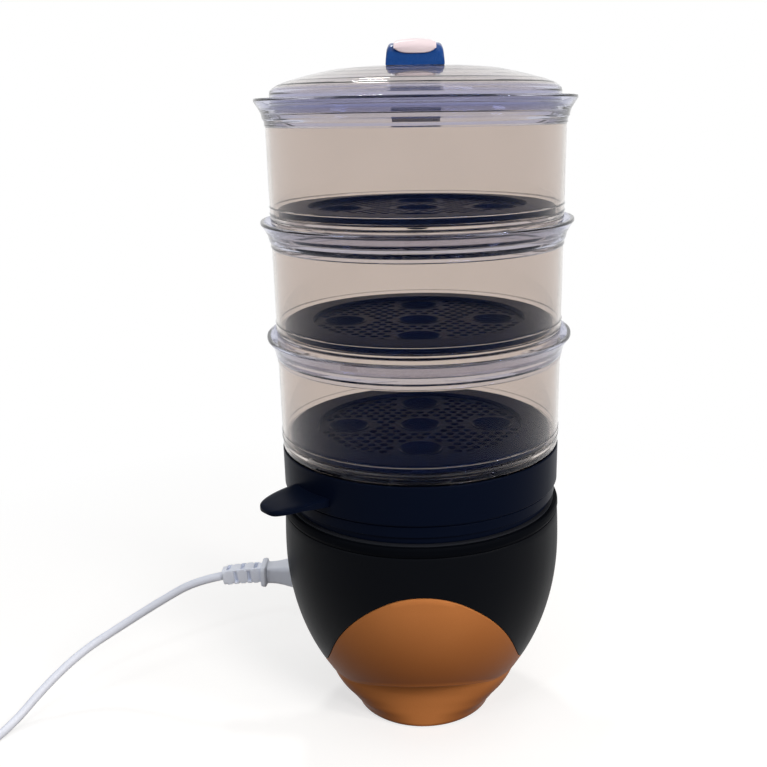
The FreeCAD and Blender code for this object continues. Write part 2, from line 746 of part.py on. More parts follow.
# Bowls
def bowl_outline(bottom):
    """Half section of a bowl: nesting skirt, tray ledge, straight wall and flared rim."""
    top = bottom + bowl_height
    inner = bowl_radius - bowl_wall
    skirt = bowl_radius - skirt_inset
    ledge = bottom + tray_ledge_level
    seat = top - nest_depth - lift_gap
    nook = 0.5 * (bowl_radius + rim_radius) - 1.6
    return [
        (skirt - bowl_wall - 0.6, bottom), (skirt, bottom), (skirt, bottom + skirt_height),
        ((bowl_radius - 0.5, bottom + skirt_height + 0.8), (bowl_radius, bottom + skirt_height + 2.6)),
        (bowl_radius, top - flare_height), ((nook, top - 0.5 * flare_height), (rim_radius, top - 2.2)),
        ((rim_radius - 0.5, top - 0.4), (rim_radius - 2.0, top)), (rim_radius - 3.6, top - 0.8),
        (inner + 3.2, seat), (skirt - 2.0, seat), (skirt - 2.0, seat - 3.0), (inner, top - flare_height),
        (inner, ledge), (tray_ledge_radius, ledge), (tray_ledge_radius, ledge - tray_ledge_wall),
        (skirt - bowl_wall - 0.6, ledge - tray_ledge_wall),
    ]


def bowl(number):
    return turned(bowl_outline(first_bowl + number * bowl_pitch))


# Trays
def tray(number):
    """A perforated tray: outer skirt, sloping land, sunk floor, egg cups and rows of holes."""
    top = first_bowl + number * bowl_pitch + tray_ledge_level + lift_gap + tray_height
    floor = top - tray_step
    plate = turned([
        (0, floor - tray_wall), (tray_land_radius - tray_wall + 0.6, floor - tray_wall),
        (tray_land_radius + 1.0, top - 0.3 - tray_wall), (tray_radius - tray_wall, top - 1.0 - tray_wall),
        (tray_radius - tray_wall, top - tray_height), (tray_radius, top - tray_height),
        (tray_radius, top - 1.0), (tray_land_radius, top), (tray_land_radius - 0.9, floor), (0, floor),
    ])
    low = floor - cup_depth
    cup = turned([
        (0, low), (0.3 * cup_radius, low), ((0.72 * cup_radius, low + 0.42 * cup_depth), (cup_radius, floor)),
        (cup_radius + 1.6, floor), (cup_radius + 1.6, floor - tray_wall),
        (0.8 * cup_radius, low + 0.5 - 0.2 * tray_wall), (0.4 * cup_radius, low - tray_wall),
        (0, low - tray_wall),
    ])
    cups = [cup] + around(moved(cup, cup_circle), cup_count)
    well = disc(cup_radius, 4 * tray_wall, (0, 0, floor - 2 * tray_wall))
    wells = [well] + around(moved(well, cup_circle), cup_count)
    return joined([plate.cut(Part.makeCompound(wells))] + cups).cut(tray_holes(floor))


def tray_holes(floor):
    """Rows of steam holes between the cups, each an octagon."""
    corners = [Vector(hole_radius, 0, 0)]
    for step in range(1, hole_sides + 1):
        angle = math.radians(360.0 * step / hole_sides)
        corners.append(Vector(hole_radius * math.cos(angle), hole_radius * math.sin(angle), 0))
    punch = Part.Face(Part.makePolygon(corners)).extrude(Vector(0, 0, 3 * tray_wall))
    holes = []
    for radius, pitch, count in hole_rings:
        for step in range(count):
            turn = 180.0 / cup_count + (step - 0.5 * (count - 1)) * pitch
            holes += around(moved(punch, radius, 0, floor - 2 * tray_wall), cup_count, turn)
    return Part.makeCompound(holes)


# Lid
def lid():
    """A shallow dome on a straight edge, with a skirt that stands on the top bowl's inner step."""
    skirt = bowl_radius - skirt_inset
    shoulder = lid_seat + lid_skirt_height
    edge = lid_seat + lid_edge_height
    crown = edge + lid_rise
    shell = turned([
        (skirt - lid_wall, lid_seat), (skirt, lid_seat), (skirt, shoulder - 2.0), (lid_radius, shoulder),
        (lid_radius, edge), ((lid_radius - 0.7, edge + 1.7), (lid_radius - 2.4, edge + 2.8)),
        ((0.62 * lid_radius, crown - 5.0), (0.3 * lid_radius, crown)), (0, crown), (0, crown - lid_wall),
        (0.3 * lid_radius, crown - lid_wall),
        ((0.61 * lid_radius, crown - 5.0 - lid_wall), (lid_radius - 3.6, edge + 0.5)),
        (lid_radius - lid_wall, edge - 1.0), (lid_radius - lid_wall, shoulder),
        (skirt - lid_wall, shoulder - 2.0),
    ])
    vents = [disc(vent_radius, 20.0, (x, 0, crown - 10.0)) for x in (-vent_spread, vent_spread)]
    return shell.cut(Part.makeCompound(vents)).cut(handle_screws(screw_play))


def lid_handle():
    """A bridge over the crown, front to back, with a finger gap under it."""
    low = handle_seat
    top = low + handle_height
    half = 0.5 * handle_length
    grip = 0.5 * grip_length
    side = outline([
        (-half, low), (-half + 1.0, top - 6.0), ((-half + 3.0, top - 2.6), (-half + 8.0, top - 1.2)),
        ((0, top), (half - 8.0, top - 1.2)), ((half - 3.0, top - 2.6), (half - 1.0, top - 6.0)), (half, low),
        (grip, low), ((grip - 2.0, low + grip_height - 3.0), (grip - 8.0, low + grip_height - 1.0)),
        ((0, low + grip_height), (-grip + 8.0, low + grip_height - 1.0)),
        ((-grip + 2.0, low + grip_height - 3.0), (-grip, low)),
    ])
    side.rotate(ORIGIN, UP, 90)
    bridge = moved(side, 0.5 * handle_width).extrude(Vector(-handle_width, 0, 0))
    foot = 0.5 * handle_width
    half_top = 0.5 * handle_top_width
    front = outline([
        (-foot, low), (-half_top - 1.2, top - 5.0), ((-half_top + 0.6, top - 1.4), (-half_top + 5.0, top)),
        (half_top - 5.0, top), ((half_top - 0.6, top - 1.4), (half_top + 1.2, top - 5.0)), (foot, low),
    ])
    trim = moved(front, 0, -handle_length).extrude(Vector(0, 2 * handle_length, 0))
    handle = bridge.common(trim)
    return handle.cut(handle_inset()).cut(handle_screws(screw_play)).removeSplitter()


def handle_inset():
    """The pale strip let into the top of the handle, bent down over its ends."""
    top = handle_seat + handle_height + inset_rise
    half = 0.5 * inset_length
    strip = outline([
        (-half, top - 12.0), (-half, top - 6.0), ((-half + 2.5, top - 3.2), (-half + 8.0, top - 1.8)),
        ((0, top), (half - 8.0, top - 1.8)), ((half - 2.5, top - 3.2), (half, top - 6.0)),
        (half, top - 12.0), (half - 2.2, top - 12.0), (half - 2.2, top - 7.0),
        ((0, top - inset_wall), (-half + 2.2, top - 7.0)), (-half + 2.2, top - 12.0),
    ])
    strip.rotate(ORIGIN, UP, 90)
    return moved(strip, 0.5 * inset_width).extrude(Vector(-inset_width, 0, 0))


def handle_screws(play=0.0):
    """Two screws up through the crown into the handle's feet."""
    reach = lid_wall + 7.0
    one = screw(3.6 + play, 2.0, 1.6 + play, reach + play)
    place = 0.25 * (handle_length + grip_length)
    return Part.makeCompound([moved(one, 0, y, handle_seat - lid_wall) for y in (-place, place)])


# Lead
def ring_across(width, height, radius, x):
    """A rounded rectangle across the connector's axis."""
    plate = round_block((1.0, width, height), (x - 0.5, inlet_y, inlet_level), radius, 0)
    face = max(plate.Faces, key=lambda one: (one.CenterOfMass.x, one.Area))
    return face.OuterWire


def connector():
    """The lead's moulded connector: nose, wide end, waist and finger guard, with three slots."""
    seat = -inlet_seat - lift_gap
    nose_end = -(inlet_seat - inlet_wall - inlet_depth) - lift_gap
    nose_size = (nose_end - seat + 1.0, inlet_width, inlet_height)
    nose = round_block(nose_size, (0.5 * (seat + nose_end - 1.0), inlet_y, inlet_level), inlet_corner, 0)
    waist = seat - connector_length + guard_length
    middle_width = 0.5 * (neck_width + connector_width)
    middle_height = 0.5 * (neck_height + connector_height)
    grip = Part.makeLoft([
        ring_across(connector_width, connector_height, connector_corner, seat),
        ring_across(connector_width, connector_height, connector_corner, seat - 10.0),
        ring_across(middle_width, middle_height, connector_corner, seat - 18.0),
        ring_across(neck_width, neck_height, connector_corner, waist),
    ], True, False)
    guard_size = (guard_length, guard_width, guard_height)
    middle = (waist - 0.5 * guard_length, inlet_y, inlet_level)
    guard = round_block(guard_size, middle, connector_corner, 0)
    return joined([nose, grip, guard]).cut(inlet_pins(0.3, 1.0))


def strain_relief():
    """The boot behind the guard, with slots on alternate sides, bent a little by the cord's weight."""
    boot = Part.makeLoft([relief_ring(step / 4) for step in range(5)], True, False)
    slots = []
    for share in relief_side_slots:
        place, heading = relief_place(share)
        for side in (-0.5, 0.5):
            centre = (place.x, place.y + side * relief_width, place.z)
            slots.append(block((relief_slot, 2 * relief_slot_depth, 0.7 * relief_width), centre))
    for share in relief_cross_slots:
        place, heading = relief_place(share)
        for side in (-0.5, 0.5):
            centre = (place.x, place.y, place.z + side * relief_width)
            slots.append(block((relief_slot, 0.7 * relief_width, 2 * relief_slot_depth), centre))
    return boot.cut(Part.makeCompound(slots))


def relief_ring(share):
    """A rounded square across the strain relief's bent axis."""
    place, heading = relief_place(share)
    width = relief_width + (relief_end_width - relief_width) * share
    plate = round_block((1.0, width, width), (0.5, 0, 0), relief_corner, 0)
    face = min(plate.Faces, key=lambda one: one.CenterOfMass.x)
    ring = face.OuterWire
    ring.Placement = FreeCAD.Placement(place, FreeCAD.Rotation(Vector(-1, 0, 0), heading))
    return ring


def relief_start():
    return Vector(-inlet_seat - lift_gap - connector_length, inlet_y, inlet_level)


def relief_place(share):
    """Point and direction on the bent axis of the strain relief, from 0 at the guard to 1 at the cord."""
    bend = math.radians(relief_droop)
    radius = relief_length / bend
    angle = bend * share
    place = relief_start() + Vector(-radius * math.sin(angle), 0, -radius * (1 - math.cos(angle)))
    return place, Vector(-math.cos(angle), 0, -math.sin(angle))


def cord_route():
    """The corners of the cord's path down to the table and along it to the coil."""
    start, heading = relief_place(1.0)
    lay = 0.5 * cord_diameter
    return [
        start, start + heading * 24.0, Vector(-234, 19.5, 80), Vector(-270, 14, 58.5), Vector(-301, -1, 43),
        Vector(-326, -24, 25), Vector(-348, -52, lay), Vector(-362, -88, lay), Vector(-378, -118, lay),
        Vector(-398, -135, lay), Vector(-420, -143.3, lay), Vector(-446, -144.2, lay),
    ]


def tail_route():
    """The corners of the cord's last stretch, from the coil to the plug."""
    lay = 0.5 * cord_diameter
    return [
        Vector(-503.6, -86, lay), Vector(-503.2, -60, lay + 0.8), Vector(-499.5, -39, 8.5),
        Vector(-492.5, -20, 14.5), plug_start() + plug_axis() * 3.0,
    ]


def tube(route, radius, name):
    """A round tube along straight runs joined by the largest arcs that the runs allow."""
    edges = []
    here = route[0]
    length = 0.0
    for before, corner, after in zip(route, route[1:], route[2:]):
        back = (before - corner).normalize()
        ahead = (after - corner).normalize()
        half_turn = 0.5 * (math.pi - back.getAngle(ahead))
        cut = 0.45 * min(before.distanceToPoint(corner), corner.distanceToPoint(after))
        arc_radius = cut / math.tan(half_turn)
        middle = (back + ahead).normalize() * (arc_radius / math.cos(half_turn) - arc_radius)
        enter = corner + back * cut
        leave = corner + ahead * cut
        edges.append(Part.makeLine(here, enter))
        edges.append(Part.Arc(enter, corner + middle, leave).toShape())
        length += here.distanceToPoint(enter) + 2 * half_turn * arc_radius
        here = leave
        print(name, "arc radius", round(arc_radius, 1))
    edges.append(Part.makeLine(here, route[-1]))
    length += here.distanceToPoint(route[-1])
    path = Part.Wire(edges)
    section = Part.Wire(Part.Circle(route[0], route[1] - route[0], radius).toShape())
    solid = path.makePipeShell([section], True, True)
    ideal = math.pi * radius ** 2 * length
    print(name, "length", round(length, 1), "volume ratio", round(solid.Volume / ideal, 4))
    return solid


def cord():
    return tube(cord_route(), 0.5 * cord_diameter, "cord")


def cord_tail():
    return tube(tail_route(), 0.5 * cord_diameter, "cord_tail")


def cord_coil():
    """The outer shape of two turns of cord lying side by side on the table."""
    inner = coil_radius - cord_diameter
    outer = coil_radius + cord_diameter
    bevel = 0.25 * cord_diameter
    ring = turned([
        (inner, bevel), (inner + bevel, 0), (outer - bevel, 0), (outer, bevel),
        (outer, cord_diameter - bevel), (outer - bevel, cord_diameter),
        (inner + bevel, cord_diameter), (inner, cord_diameter - bevel),
    ])
    ring.translate(coil_centre)
    return ring


def plug_axis():
    angle = math.radians(plug_heading)
    return Vector(math.cos(angle), math.sin(angle), 0)


def plug_start():
    return Vector(-485, -2, plug_radius)


def mains_plug():
    """A round two-pin earthed plug: a conical neck, a drum and two flats with the earth strips."""
    neck = Part.makeCone(plug_neck_radius, 0.8 * plug_radius, plug_neck_length)
    drum = disc(plug_radius, plug_length, (0, 0, plug_neck_length))
    rim = [edge for edge in drum.Edges if edge.BoundBox.ZLength < 0.01]
    place = plug_radius + 1.0
    flat = block((8.0, 8.0, plug_length), (0, 0, plug_neck_length + 0.6 * plug_length))
    flats = [moved(flat, 0, y) for y in (-place, place)]
    body = neck.fuse(drum.makeFillet(1.5, rim)).cut(Part.makeCompound(flats)).removeSplitter()
    return laid(body)


def plug_pins():
    start = plug_neck_length + plug_length
    pins = []
    for x in (-0.5 * plug_pin_spacing, 0.5 * plug_pin_spacing):
        pin = disc(plug_pin_radius, plug_pin_length, (x, 0, start))
        pins.append(laid(pin.makeFillet(1.2, [e for e in pin.Edges if e.BoundBox.ZMin > start + 1])))
    return Part.makeCompound(pins)


def laid(shape):
    """Turns a piece of the plug from +Z onto the plug's axis, at the end of the cord."""
    turn = FreeCAD.Rotation(UP, plug_axis())
    copy = shape.copy()
    copy.Placement = FreeCAD.Placement(plug_start(), turn)
    return copy


nodes = {
    "copper_shell": copper_shell,
    "base_body": base_body,
    "base_collar": base_collar,
    "reservoir": reservoir,
    "reservoir_seal": reservoir_seal,
    "heating_plate": heating_plate,
    "heating_element": heating_element,
    "clamp_ring": clamp_ring,
    "clamp_screws": clamp_screws,
    "thermostat": thermostat,
    "thermal_fuse": thermal_fuse,
    "steam_sleeve": steam_sleeve,
    "base_plate": base_plate,
    "base_screws": base_screws,
    "rubber_feet": rubber_feet,
    "terminal_block": terminal_block,
    "timer_body": timer_body,
    "timer_screws": timer_screws,
    "timer_shaft": timer_shaft,
    "timer_knob": timer_knob,
    "pilot_lens": pilot_lens,
    "pilot_lamp": pilot_lamp,
    "inlet_socket": inlet_socket,
    "inlet_pins": inlet_pins,
    "drip_tray": drip_tray,
    "lid": lid,
    "lid_handle": lid_handle,
    "handle_inset": handle_inset,
    "handle_screws": handle_screws,
    "connector": connector,
    "strain_relief": strain_relief,
    "cord": cord,
    "cord_coil": cord_coil,
    "cord_tail": cord_tail,
    "mains_plug": mains_plug,
    "plug_pins": plug_pins,
}
for number in range(bowl_count):
    nodes["bowl_" + str(number + 1)] = lambda number=number: bowl(number)
    nodes["tray_" + str(number + 1)] = lambda number=number: tray(number)


def main():
    os.makedirs("parts", exist_ok=True)
    for name, make in nodes.items():
        shape = make()
        shape.exportStep("parts/" + name + ".step")
        print(name, shape.isValid(), len(shape.Solids), round(shape.Volume))


main()
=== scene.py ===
import math

import bmesh
import bpy
from mathutils import Euler, Matrix, Vector
from mathutils.geometry import delaunay_2d_cdt


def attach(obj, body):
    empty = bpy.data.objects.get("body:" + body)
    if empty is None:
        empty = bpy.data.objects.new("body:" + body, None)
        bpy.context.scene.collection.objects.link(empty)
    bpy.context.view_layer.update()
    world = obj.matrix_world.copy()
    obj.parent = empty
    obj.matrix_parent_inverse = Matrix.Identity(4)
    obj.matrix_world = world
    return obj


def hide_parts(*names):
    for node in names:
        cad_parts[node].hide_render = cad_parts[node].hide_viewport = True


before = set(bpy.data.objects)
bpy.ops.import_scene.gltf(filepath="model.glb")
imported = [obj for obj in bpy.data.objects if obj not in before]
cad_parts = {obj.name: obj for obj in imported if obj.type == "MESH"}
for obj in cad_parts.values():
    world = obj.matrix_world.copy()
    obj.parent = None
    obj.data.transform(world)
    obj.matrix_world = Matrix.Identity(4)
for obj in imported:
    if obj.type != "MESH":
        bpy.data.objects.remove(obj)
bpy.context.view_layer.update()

MM = 0.001
TURN = 2 * math.pi
ALONG_X, ALONG_Y, ALONG_Z = Vector((1, 0, 0)), Vector((0, 1, 0)), Vector((0, 0, 1))


# ---------------------------------------------------------------- camera
def look():
    """The camera stands level with the lid and looks down a little, the steamer right of the middle."""
    data = bpy.data.cameras.new("camera")
    data.sensor_width = 36.0
    data.lens = 45.03
    data.shift_x = -0.0476
    data.shift_y = 0.0344
    data.clip_start = 0.05
    data.clip_end = 50.0
    camera = bpy.data.objects.new("camera", data)
    bpy.context.scene.collection.objects.link(camera)
    pitch = 0.302
    roll = -0.0141
    aim = Euler((math.pi / 2 - pitch, 0, 0)).to_matrix() @ Matrix.Rotation(roll, 3, "Z")
    camera.rotation_euler = aim.to_euler()
    camera.location = (0, -0.747, 0.494)
    bpy.context.scene.camera = camera


look()


# ---------------------------------------------------------------- nodes of a material
class Recipe:
    """Short calls that put nodes in a tree and join them up."""

    def __init__(self, tree):
        self.tree = tree

    def node(self, kind, inputs=None, **settings):
        made = self.tree.nodes.new(kind)
        for name, value in settings.items():
            setattr(made, name, value)
        for name, value in (inputs or {}).items():
            self.feed(made.inputs[name], value)
        return made

    def feed(self, socket, value):
        if isinstance(value, bpy.types.NodeSocket):
            self.tree.links.new(value, socket)
        else:
            socket.default_value = value

    def math(self, operation, *values, clamp=False):
        made = self.tree.nodes.new("ShaderNodeMath")
        made.operation = operation
        made.use_clamp = clamp
        for socket, value in zip(made.inputs, values):
            self.feed(socket, value)
        return made.outputs[0]

    def mix(self, factor, a, b, blend="MIX"):
        made = self.tree.nodes.new("ShaderNodeMix")
        made.data_type = "RGBA"
        made.blend_type = blend
        self.feed(made.inputs["Factor"], factor)
        self.feed(made.inputs[6], a)
        self.feed(made.inputs[7], b)
        return made.outputs[2]

    def spread(self, value, low, high, to_low=0.0, to_high=1.0):
        made = self.node("ShaderNodeMapRange", {
            "Value": value, "From Min": low, "From Max": high, "To Min": to_low, "To Max": to_high,
        })
        return made.outputs[0]

    def place(self):
        return self.node("ShaderNodeTexCoord").outputs["Object"]

    def noise(self, place, scale, detail=2.0, rough=0.5):
        made = self.node("ShaderNodeTexNoise", {
            "Vector": place, "Scale": scale, "Detail": detail, "Roughness": rough,
        })
        return made.outputs["Fac"]


def new_group(name, takes, gives):
    """A shader node group with named sockets; returns its recipe, its input and its output node."""
    group = bpy.data.node_groups.new(name, "ShaderNodeTree")
    for label, kind, value in takes:
        socket = group.interface.new_socket(label, in_out="INPUT", socket_type="NodeSocket" + kind)
        socket.default_value = value
    for label, kind in gives:
        group.interface.new_socket(label, in_out="OUTPUT", socket_type="NodeSocket" + kind)
    recipe = Recipe(group)
    return recipe, recipe.node("NodeGroupInput"), recipe.node("NodeGroupOutput")


def moulded_surface():
    """Fine spark-eroded grain, faint flow shades and wiped smears, as on injection-moulded plastic."""
    recipe, takes, gives = new_group(
        "moulded_surface",
        [("Colour", "Color", (0.5, 0.5, 0.5, 1)), ("Shade", "Float", 0.1), ("Roughness", "Float", 0.4),
         ("Grain", "Float", 900.0), ("Smear", "Float", 0.06)],
        [("Colour", "Color"), ("Roughness", "Float"), ("Height", "Float")],
    )
    place = recipe.place()
    flow = recipe.noise(place, 9.0, 3.0)
    grain = recipe.noise(place, takes.outputs["Grain"], 2.0, 0.6)
    streaks = recipe.node("ShaderNodeMapping", {"Vector": place, "Scale": (60.0, 60.0, 7.0)}).outputs[0]
    smear = recipe.spread(recipe.noise(streaks, 1.0, 4.0, 0.6), 0.42, 0.72)
    darker = recipe.mix(1.0, takes.outputs["Colour"], (0.55, 0.55, 0.58, 1), "MULTIPLY")
    paler = recipe.mix(takes.outputs["Shade"], takes.outputs["Colour"], (0.6, 0.62, 0.66, 1))
    shade = recipe.mix(recipe.spread(flow, 0.35, 0.65), darker, paler)
    share = recipe.math("MULTIPLY", takes.outputs["Shade"], 2.0, clamp=True)
    recipe.feed(gives.inputs["Colour"], recipe.mix(share, takes.outputs["Colour"], shade))
    worn = recipe.math("MULTIPLY", smear, takes.outputs["Smear"])
    speck = recipe.spread(grain, 0.3, 0.7, -0.02, 0.02)
    rough = recipe.math("ADD", recipe.math("ADD", takes.outputs["Roughness"], worn), speck, clamp=True)
    recipe.feed(gives.inputs["Roughness"], rough)
    recipe.feed(gives.inputs["Height"], grain)
    return recipe.tree


def fine_scratches():
    """Hairlines from wiping, as a mask: thin bright lines in two directions."""
    recipe, takes, gives = new_group(
        "fine_scratches",
        [("Scale", "Float", 40.0), ("Amount", "Float", 0.5)],
        [("Mask", "Float")],
    )
    place = recipe.place()
    masks = []
    for turn in ((0.3, 0.2, 0.5), (1.1, -0.4, 2.1)):
        laid = recipe.node("ShaderNodeMapping", {"Vector": place, "Rotation": turn, "Scale": (1.0, 14.0, 1.6)})
        lines = recipe.noise(laid.outputs[0], takes.outputs["Scale"], 5.0, 0.7)
        masks.append(recipe.spread(lines, 0.62, 0.7))
    both = recipe.math("MAXIMUM", *masks)
    mask = recipe.math("MULTIPLY", both, takes.outputs["Amount"], clamp=True)
    recipe.feed(gives.inputs["Mask"], mask)
    return recipe.tree


MOULDED = moulded_surface()
SCRATCHES = fine_scratches()


def linear(red, green, blue):
    """A screen colour from 0 to 255 as linear light."""
    values = []
    for channel in (red, green, blue):
        share = channel / 255
        values.append(share / 12.92 if share <= 0.04045 else ((share + 0.055) / 1.055) ** 2.4)
    return (*values, 1.0)


def surface(name, settings):
    """An empty material with a shader whose plain settings are given by socket name."""
    material = bpy.data.materials.new(name)
    material.use_nodes = True
    shader = material.node_tree.nodes["Principled BSDF"]
    for socket, value in settings.items():
        shader.inputs[socket].default_value = value
    return material, Recipe(material.node_tree), shader


def scratched(recipe, amount, scale=40.0):
    """The mask of a surface's fine scratches."""
    made = recipe.node("ShaderNodeGroup", node_tree=SCRATCHES)
    made.inputs["Amount"].default_value = amount
    made.inputs["Scale"].default_value = scale
    return made.outputs["Mask"]


def dressed(material, recipe, shader, tone, rough, height, strength, distance):
    """Joins the colour, the roughness and a bump from the height to the shader."""
    made = recipe.node("ShaderNodeBump", {"Height": height, "Strength": strength, "Distance": distance})
    for socket, value in (("Base Color", tone), ("Roughness", rough), ("Normal", made.outputs[0])):
        recipe.feed(shader.inputs[socket], value)
    return material


def moulded(name, colour, roughness, shade, gloss=0.5, grain=900.0, relief=0.12, scratch=0.0):
    """Moulded plastic or rubber: shaded colour, fine grain and smears, with scratches where asked."""
    material, recipe, shader = surface(name, {"Specular IOR Level": gloss})
    base = recipe.node("ShaderNodeGroup", node_tree=MOULDED)
    values = {"Colour": colour, "Shade": shade, "Roughness": roughness, "Grain": grain, "Smear": 0.05}
    for socket, value in values.items():
        base.inputs[socket].default_value = value
    rough = base.outputs["Roughness"]
    if scratch:
        rough = recipe.math("ADD", rough, scratched(recipe, scratch), clamp=True)
    return dressed(material, recipe, shader, base.outputs["Colour"], rough, base.outputs["Height"], relief, 0.0002)


def copper_finish():
    """Satin copper-coloured paint with fine metal flakes; faces that look down get painted shade, a deep brown
    mixed in.
    """
    material, recipe, shader = surface("copper_paint", {"Metallic": 0.02, "Specular IOR Level": 0.05})
    place = recipe.place()
    flakes = recipe.node("ShaderNodeTexVoronoi", {"Vector": place, "Scale": 2200.0})
    spark = recipe.spread(flakes.outputs["Distance"], 0.1, 0.8)
    cloud = recipe.spread(recipe.noise(place, 14.0, 3.0), 0.3, 0.7)
    fine = recipe.noise(place, 1500.0, 2.0)
    tone = recipe.mix(cloud, linear(190, 120, 66), linear(198, 127, 72))
    tone = recipe.mix(recipe.math("MULTIPLY", spark, 0.25), tone, linear(166, 100, 54))
    # Painted shade: the more a face looks down, the more its colour is mixed towards deep brown, standing in for
    # the shade under the belly.
    normal = recipe.node("ShaderNodeNewGeometry").outputs["Normal"]
    up = recipe.node("ShaderNodeSeparateXYZ", {"Vector": normal}).outputs["Z"]
    tone = recipe.mix(recipe.spread(up, -0.5, -0.06), linear(118, 64, 26), tone)
    rough = recipe.math("ADD", recipe.spread(fine, 0.3, 0.7, 0.40, 0.48), scratched(recipe, 0.06))
    return dressed(material, recipe, shader, tone, rough, fine, 0.08, 0.0002)


def clear_finish(name, tint, roughness, gloss_tint=(1, 1, 1), painted_rim_tint=None, rim_radius=0.0):
    """Clear moulded plastic with a faint tint, hairlines and soft waves; a painted reflection gives the flared rim
    a darker, bluer tint.
    """
    material, recipe, shader = surface(name, {
        "Transmission Weight": 1.0, "IOR": 1.49, "Specular Tint": (*gloss_tint, 1.0),
    })
    place = recipe.place()
    waves = recipe.noise(place, 22.0, 2.0)
    rough = recipe.math("ADD", scratched(recipe, 0.05, 60.0), roughness)
    deeper = (*(0.985 * c for c in tint), 1.0)
    tone = recipe.mix(recipe.spread(waves, 0.35, 0.65), (*tint, 1.0), deeper)
    # Painted reflection: past the rim radius the tint turns darker and bluer, standing in for the blue that the
    # flared rim reflects and bends from around it.
    if painted_rim_tint:
        flat = recipe.node("ShaderNodeVectorMath", {0: place, 1: (1, 1, 0)}, operation="MULTIPLY").outputs[0]
        away = recipe.node("ShaderNodeVectorMath", {0: flat}, operation="LENGTH").outputs["Value"]
        rim = recipe.spread(away, rim_radius - 0.0004, rim_radius + 0.0006)
        tone = recipe.mix(rim, tone, (*painted_rim_tint, 1.0))
    return dressed(material, recipe, shader, tone, rough, waves, 0.06, 0.002)


def metal_finish(name, colour, roughness):
    """Rolled or turned metal: a fine grain in its gloss and slight clouds in its colour."""
    material, recipe, shader = surface(name, {"Metallic": 1.0})
    place = recipe.place()
    laid = recipe.node("ShaderNodeMapping", {"Vector": place, "Scale": (1.0, 1.0, 9.0)}).outputs[0]
    brushed = recipe.noise(laid, 400.0, 3.0, 0.6)
    cloud = recipe.noise(place, 30.0, 3.0)
    dark = (*(0.78 * c for c in colour), 1.0)
    tone = recipe.mix(recipe.spread(cloud, 0.3, 0.7), dark, (*colour, 1.0))
    rough = recipe.spread(brushed, 0.3, 0.7, roughness, roughness + 0.14)
    return dressed(material, recipe, shader, tone, rough, brushed, 0.1, 0.0001)


PLASTICS = (  # name, screen colour, roughness, shade and what else differs
    ("navy_plastic", (7, 9, 14), 0.4, 0.02, {"gloss": 0.035}),
    ("navy_collar", (7, 9, 14), 0.4, 0.02, {"gloss": 0.008}),
    ("navy_tray", (6, 13, 30), 0.3, 0.02, {"gloss": 0.02, "scratch": 0.04}),
    ("navy_plate", (9, 22, 54), 0.3, 0.02, {"gloss": 0.012, "relief": 0.03}),
    ("navy_blue", (12, 62, 128), 0.26, 0.03, {"gloss": 0.15, "scratch": 0.03}),
    ("pink_cream", (228, 213, 219), 0.36, 0.02, {"gloss": 0.2, "scratch": 0.03}),
    ("grey_plastic", (34, 36, 42), 0.45, 0.04, {"gloss": 0.1}),
    ("black_plastic", (22, 22, 24), 0.42, 0.05, {}),
    ("white_plastic", (232, 238, 252), 0.42, 0.02, {"relief": 0.08}),
    ("rubber", (30, 30, 32), 0.72, 0.08, {"grain": 1500.0, "relief": 0.3}),
    ("silicone", (168, 172, 176), 0.55, 0.05, {}),
    ("dial_print", (226, 222, 214), 0.5, 0.03, {}),
)
METALS = (  # name, colour as light, roughness
    ("steel", (0.62, 0.62, 0.63), 0.24),
    ("aluminium", (0.78, 0.78, 0.79), 0.34),
    ("brass", (0.72, 0.53, 0.25), 0.26),
)
CLEARS = (  # name, tint, roughness, then the tint of the gloss and the rim's painted reflection tint and radius in metres
    ("clear_plastic", (0.72, 0.66, 0.62), 0.01, (0.05, 0.07, 0.16), (0.56, 0.57, 0.68), 0.1121),
    ("clear_lid", (0.73, 0.68, 0.66), 0.01, (0.1, 0.12, 0.22), (0.60, 0.60, 0.71), 0.1045),
    ("red_lens", (0.75, 0.05, 0.03), 0.08),
)
FINISH = {"copper_paint": copper_finish()}
for name, colour, roughness, shade, more in PLASTICS:
    FINISH[name] = moulded(name, linear(*colour), roughness, shade, **more)
for name, *values in METALS:
    FINISH[name] = metal_finish(name, *values)
for name, *values in CLEARS:
    FINISH[name] = clear_finish(name, *values)


# ---------------------------------------------------------------- meshes
def piece(name, mesh, finish, body, *replaced, slot=None):
    """A new piece of the steamer in its finish, riding on its body and standing for CAD nodes."""
    made = bpy.data.objects.new(name, mesh)
    bpy.context.scene.collection.objects.link(made)
    mesh.materials.append(FINISH[finish])
    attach(made, body)
    if replaced:
        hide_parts(*replaced)
    return made


def smooth(mesh, crease=40.0):
    """Smooth shading that stays crisp where faces meet at more than the crease angle."""
    mesh.shade_smooth()
    mesh.set_sharp_from_angle(angle=math.radians(crease))
    return mesh


def mesh_of(name, points, faces, crease=40.0):
    """A mesh from points in millimetres, with doubled points and faces without area taken out."""
    same = 0.002 * MM
    mesh = bpy.data.meshes.new(name)
    mesh.from_pydata([Vector(p) * MM for p in points], [], faces)
    work = bmesh.new()
    work.from_mesh(mesh)
    bmesh.ops.remove_doubles(work, verts=work.verts, dist=same)
    bmesh.ops.dissolve_degenerate(work, edges=work.edges, dist=same)
    bmesh.ops.recalc_face_normals(work, faces=work.faces)
    work.to_mesh(mesh)
    work.free()
    mesh.validate()
    return smooth(mesh, crease)


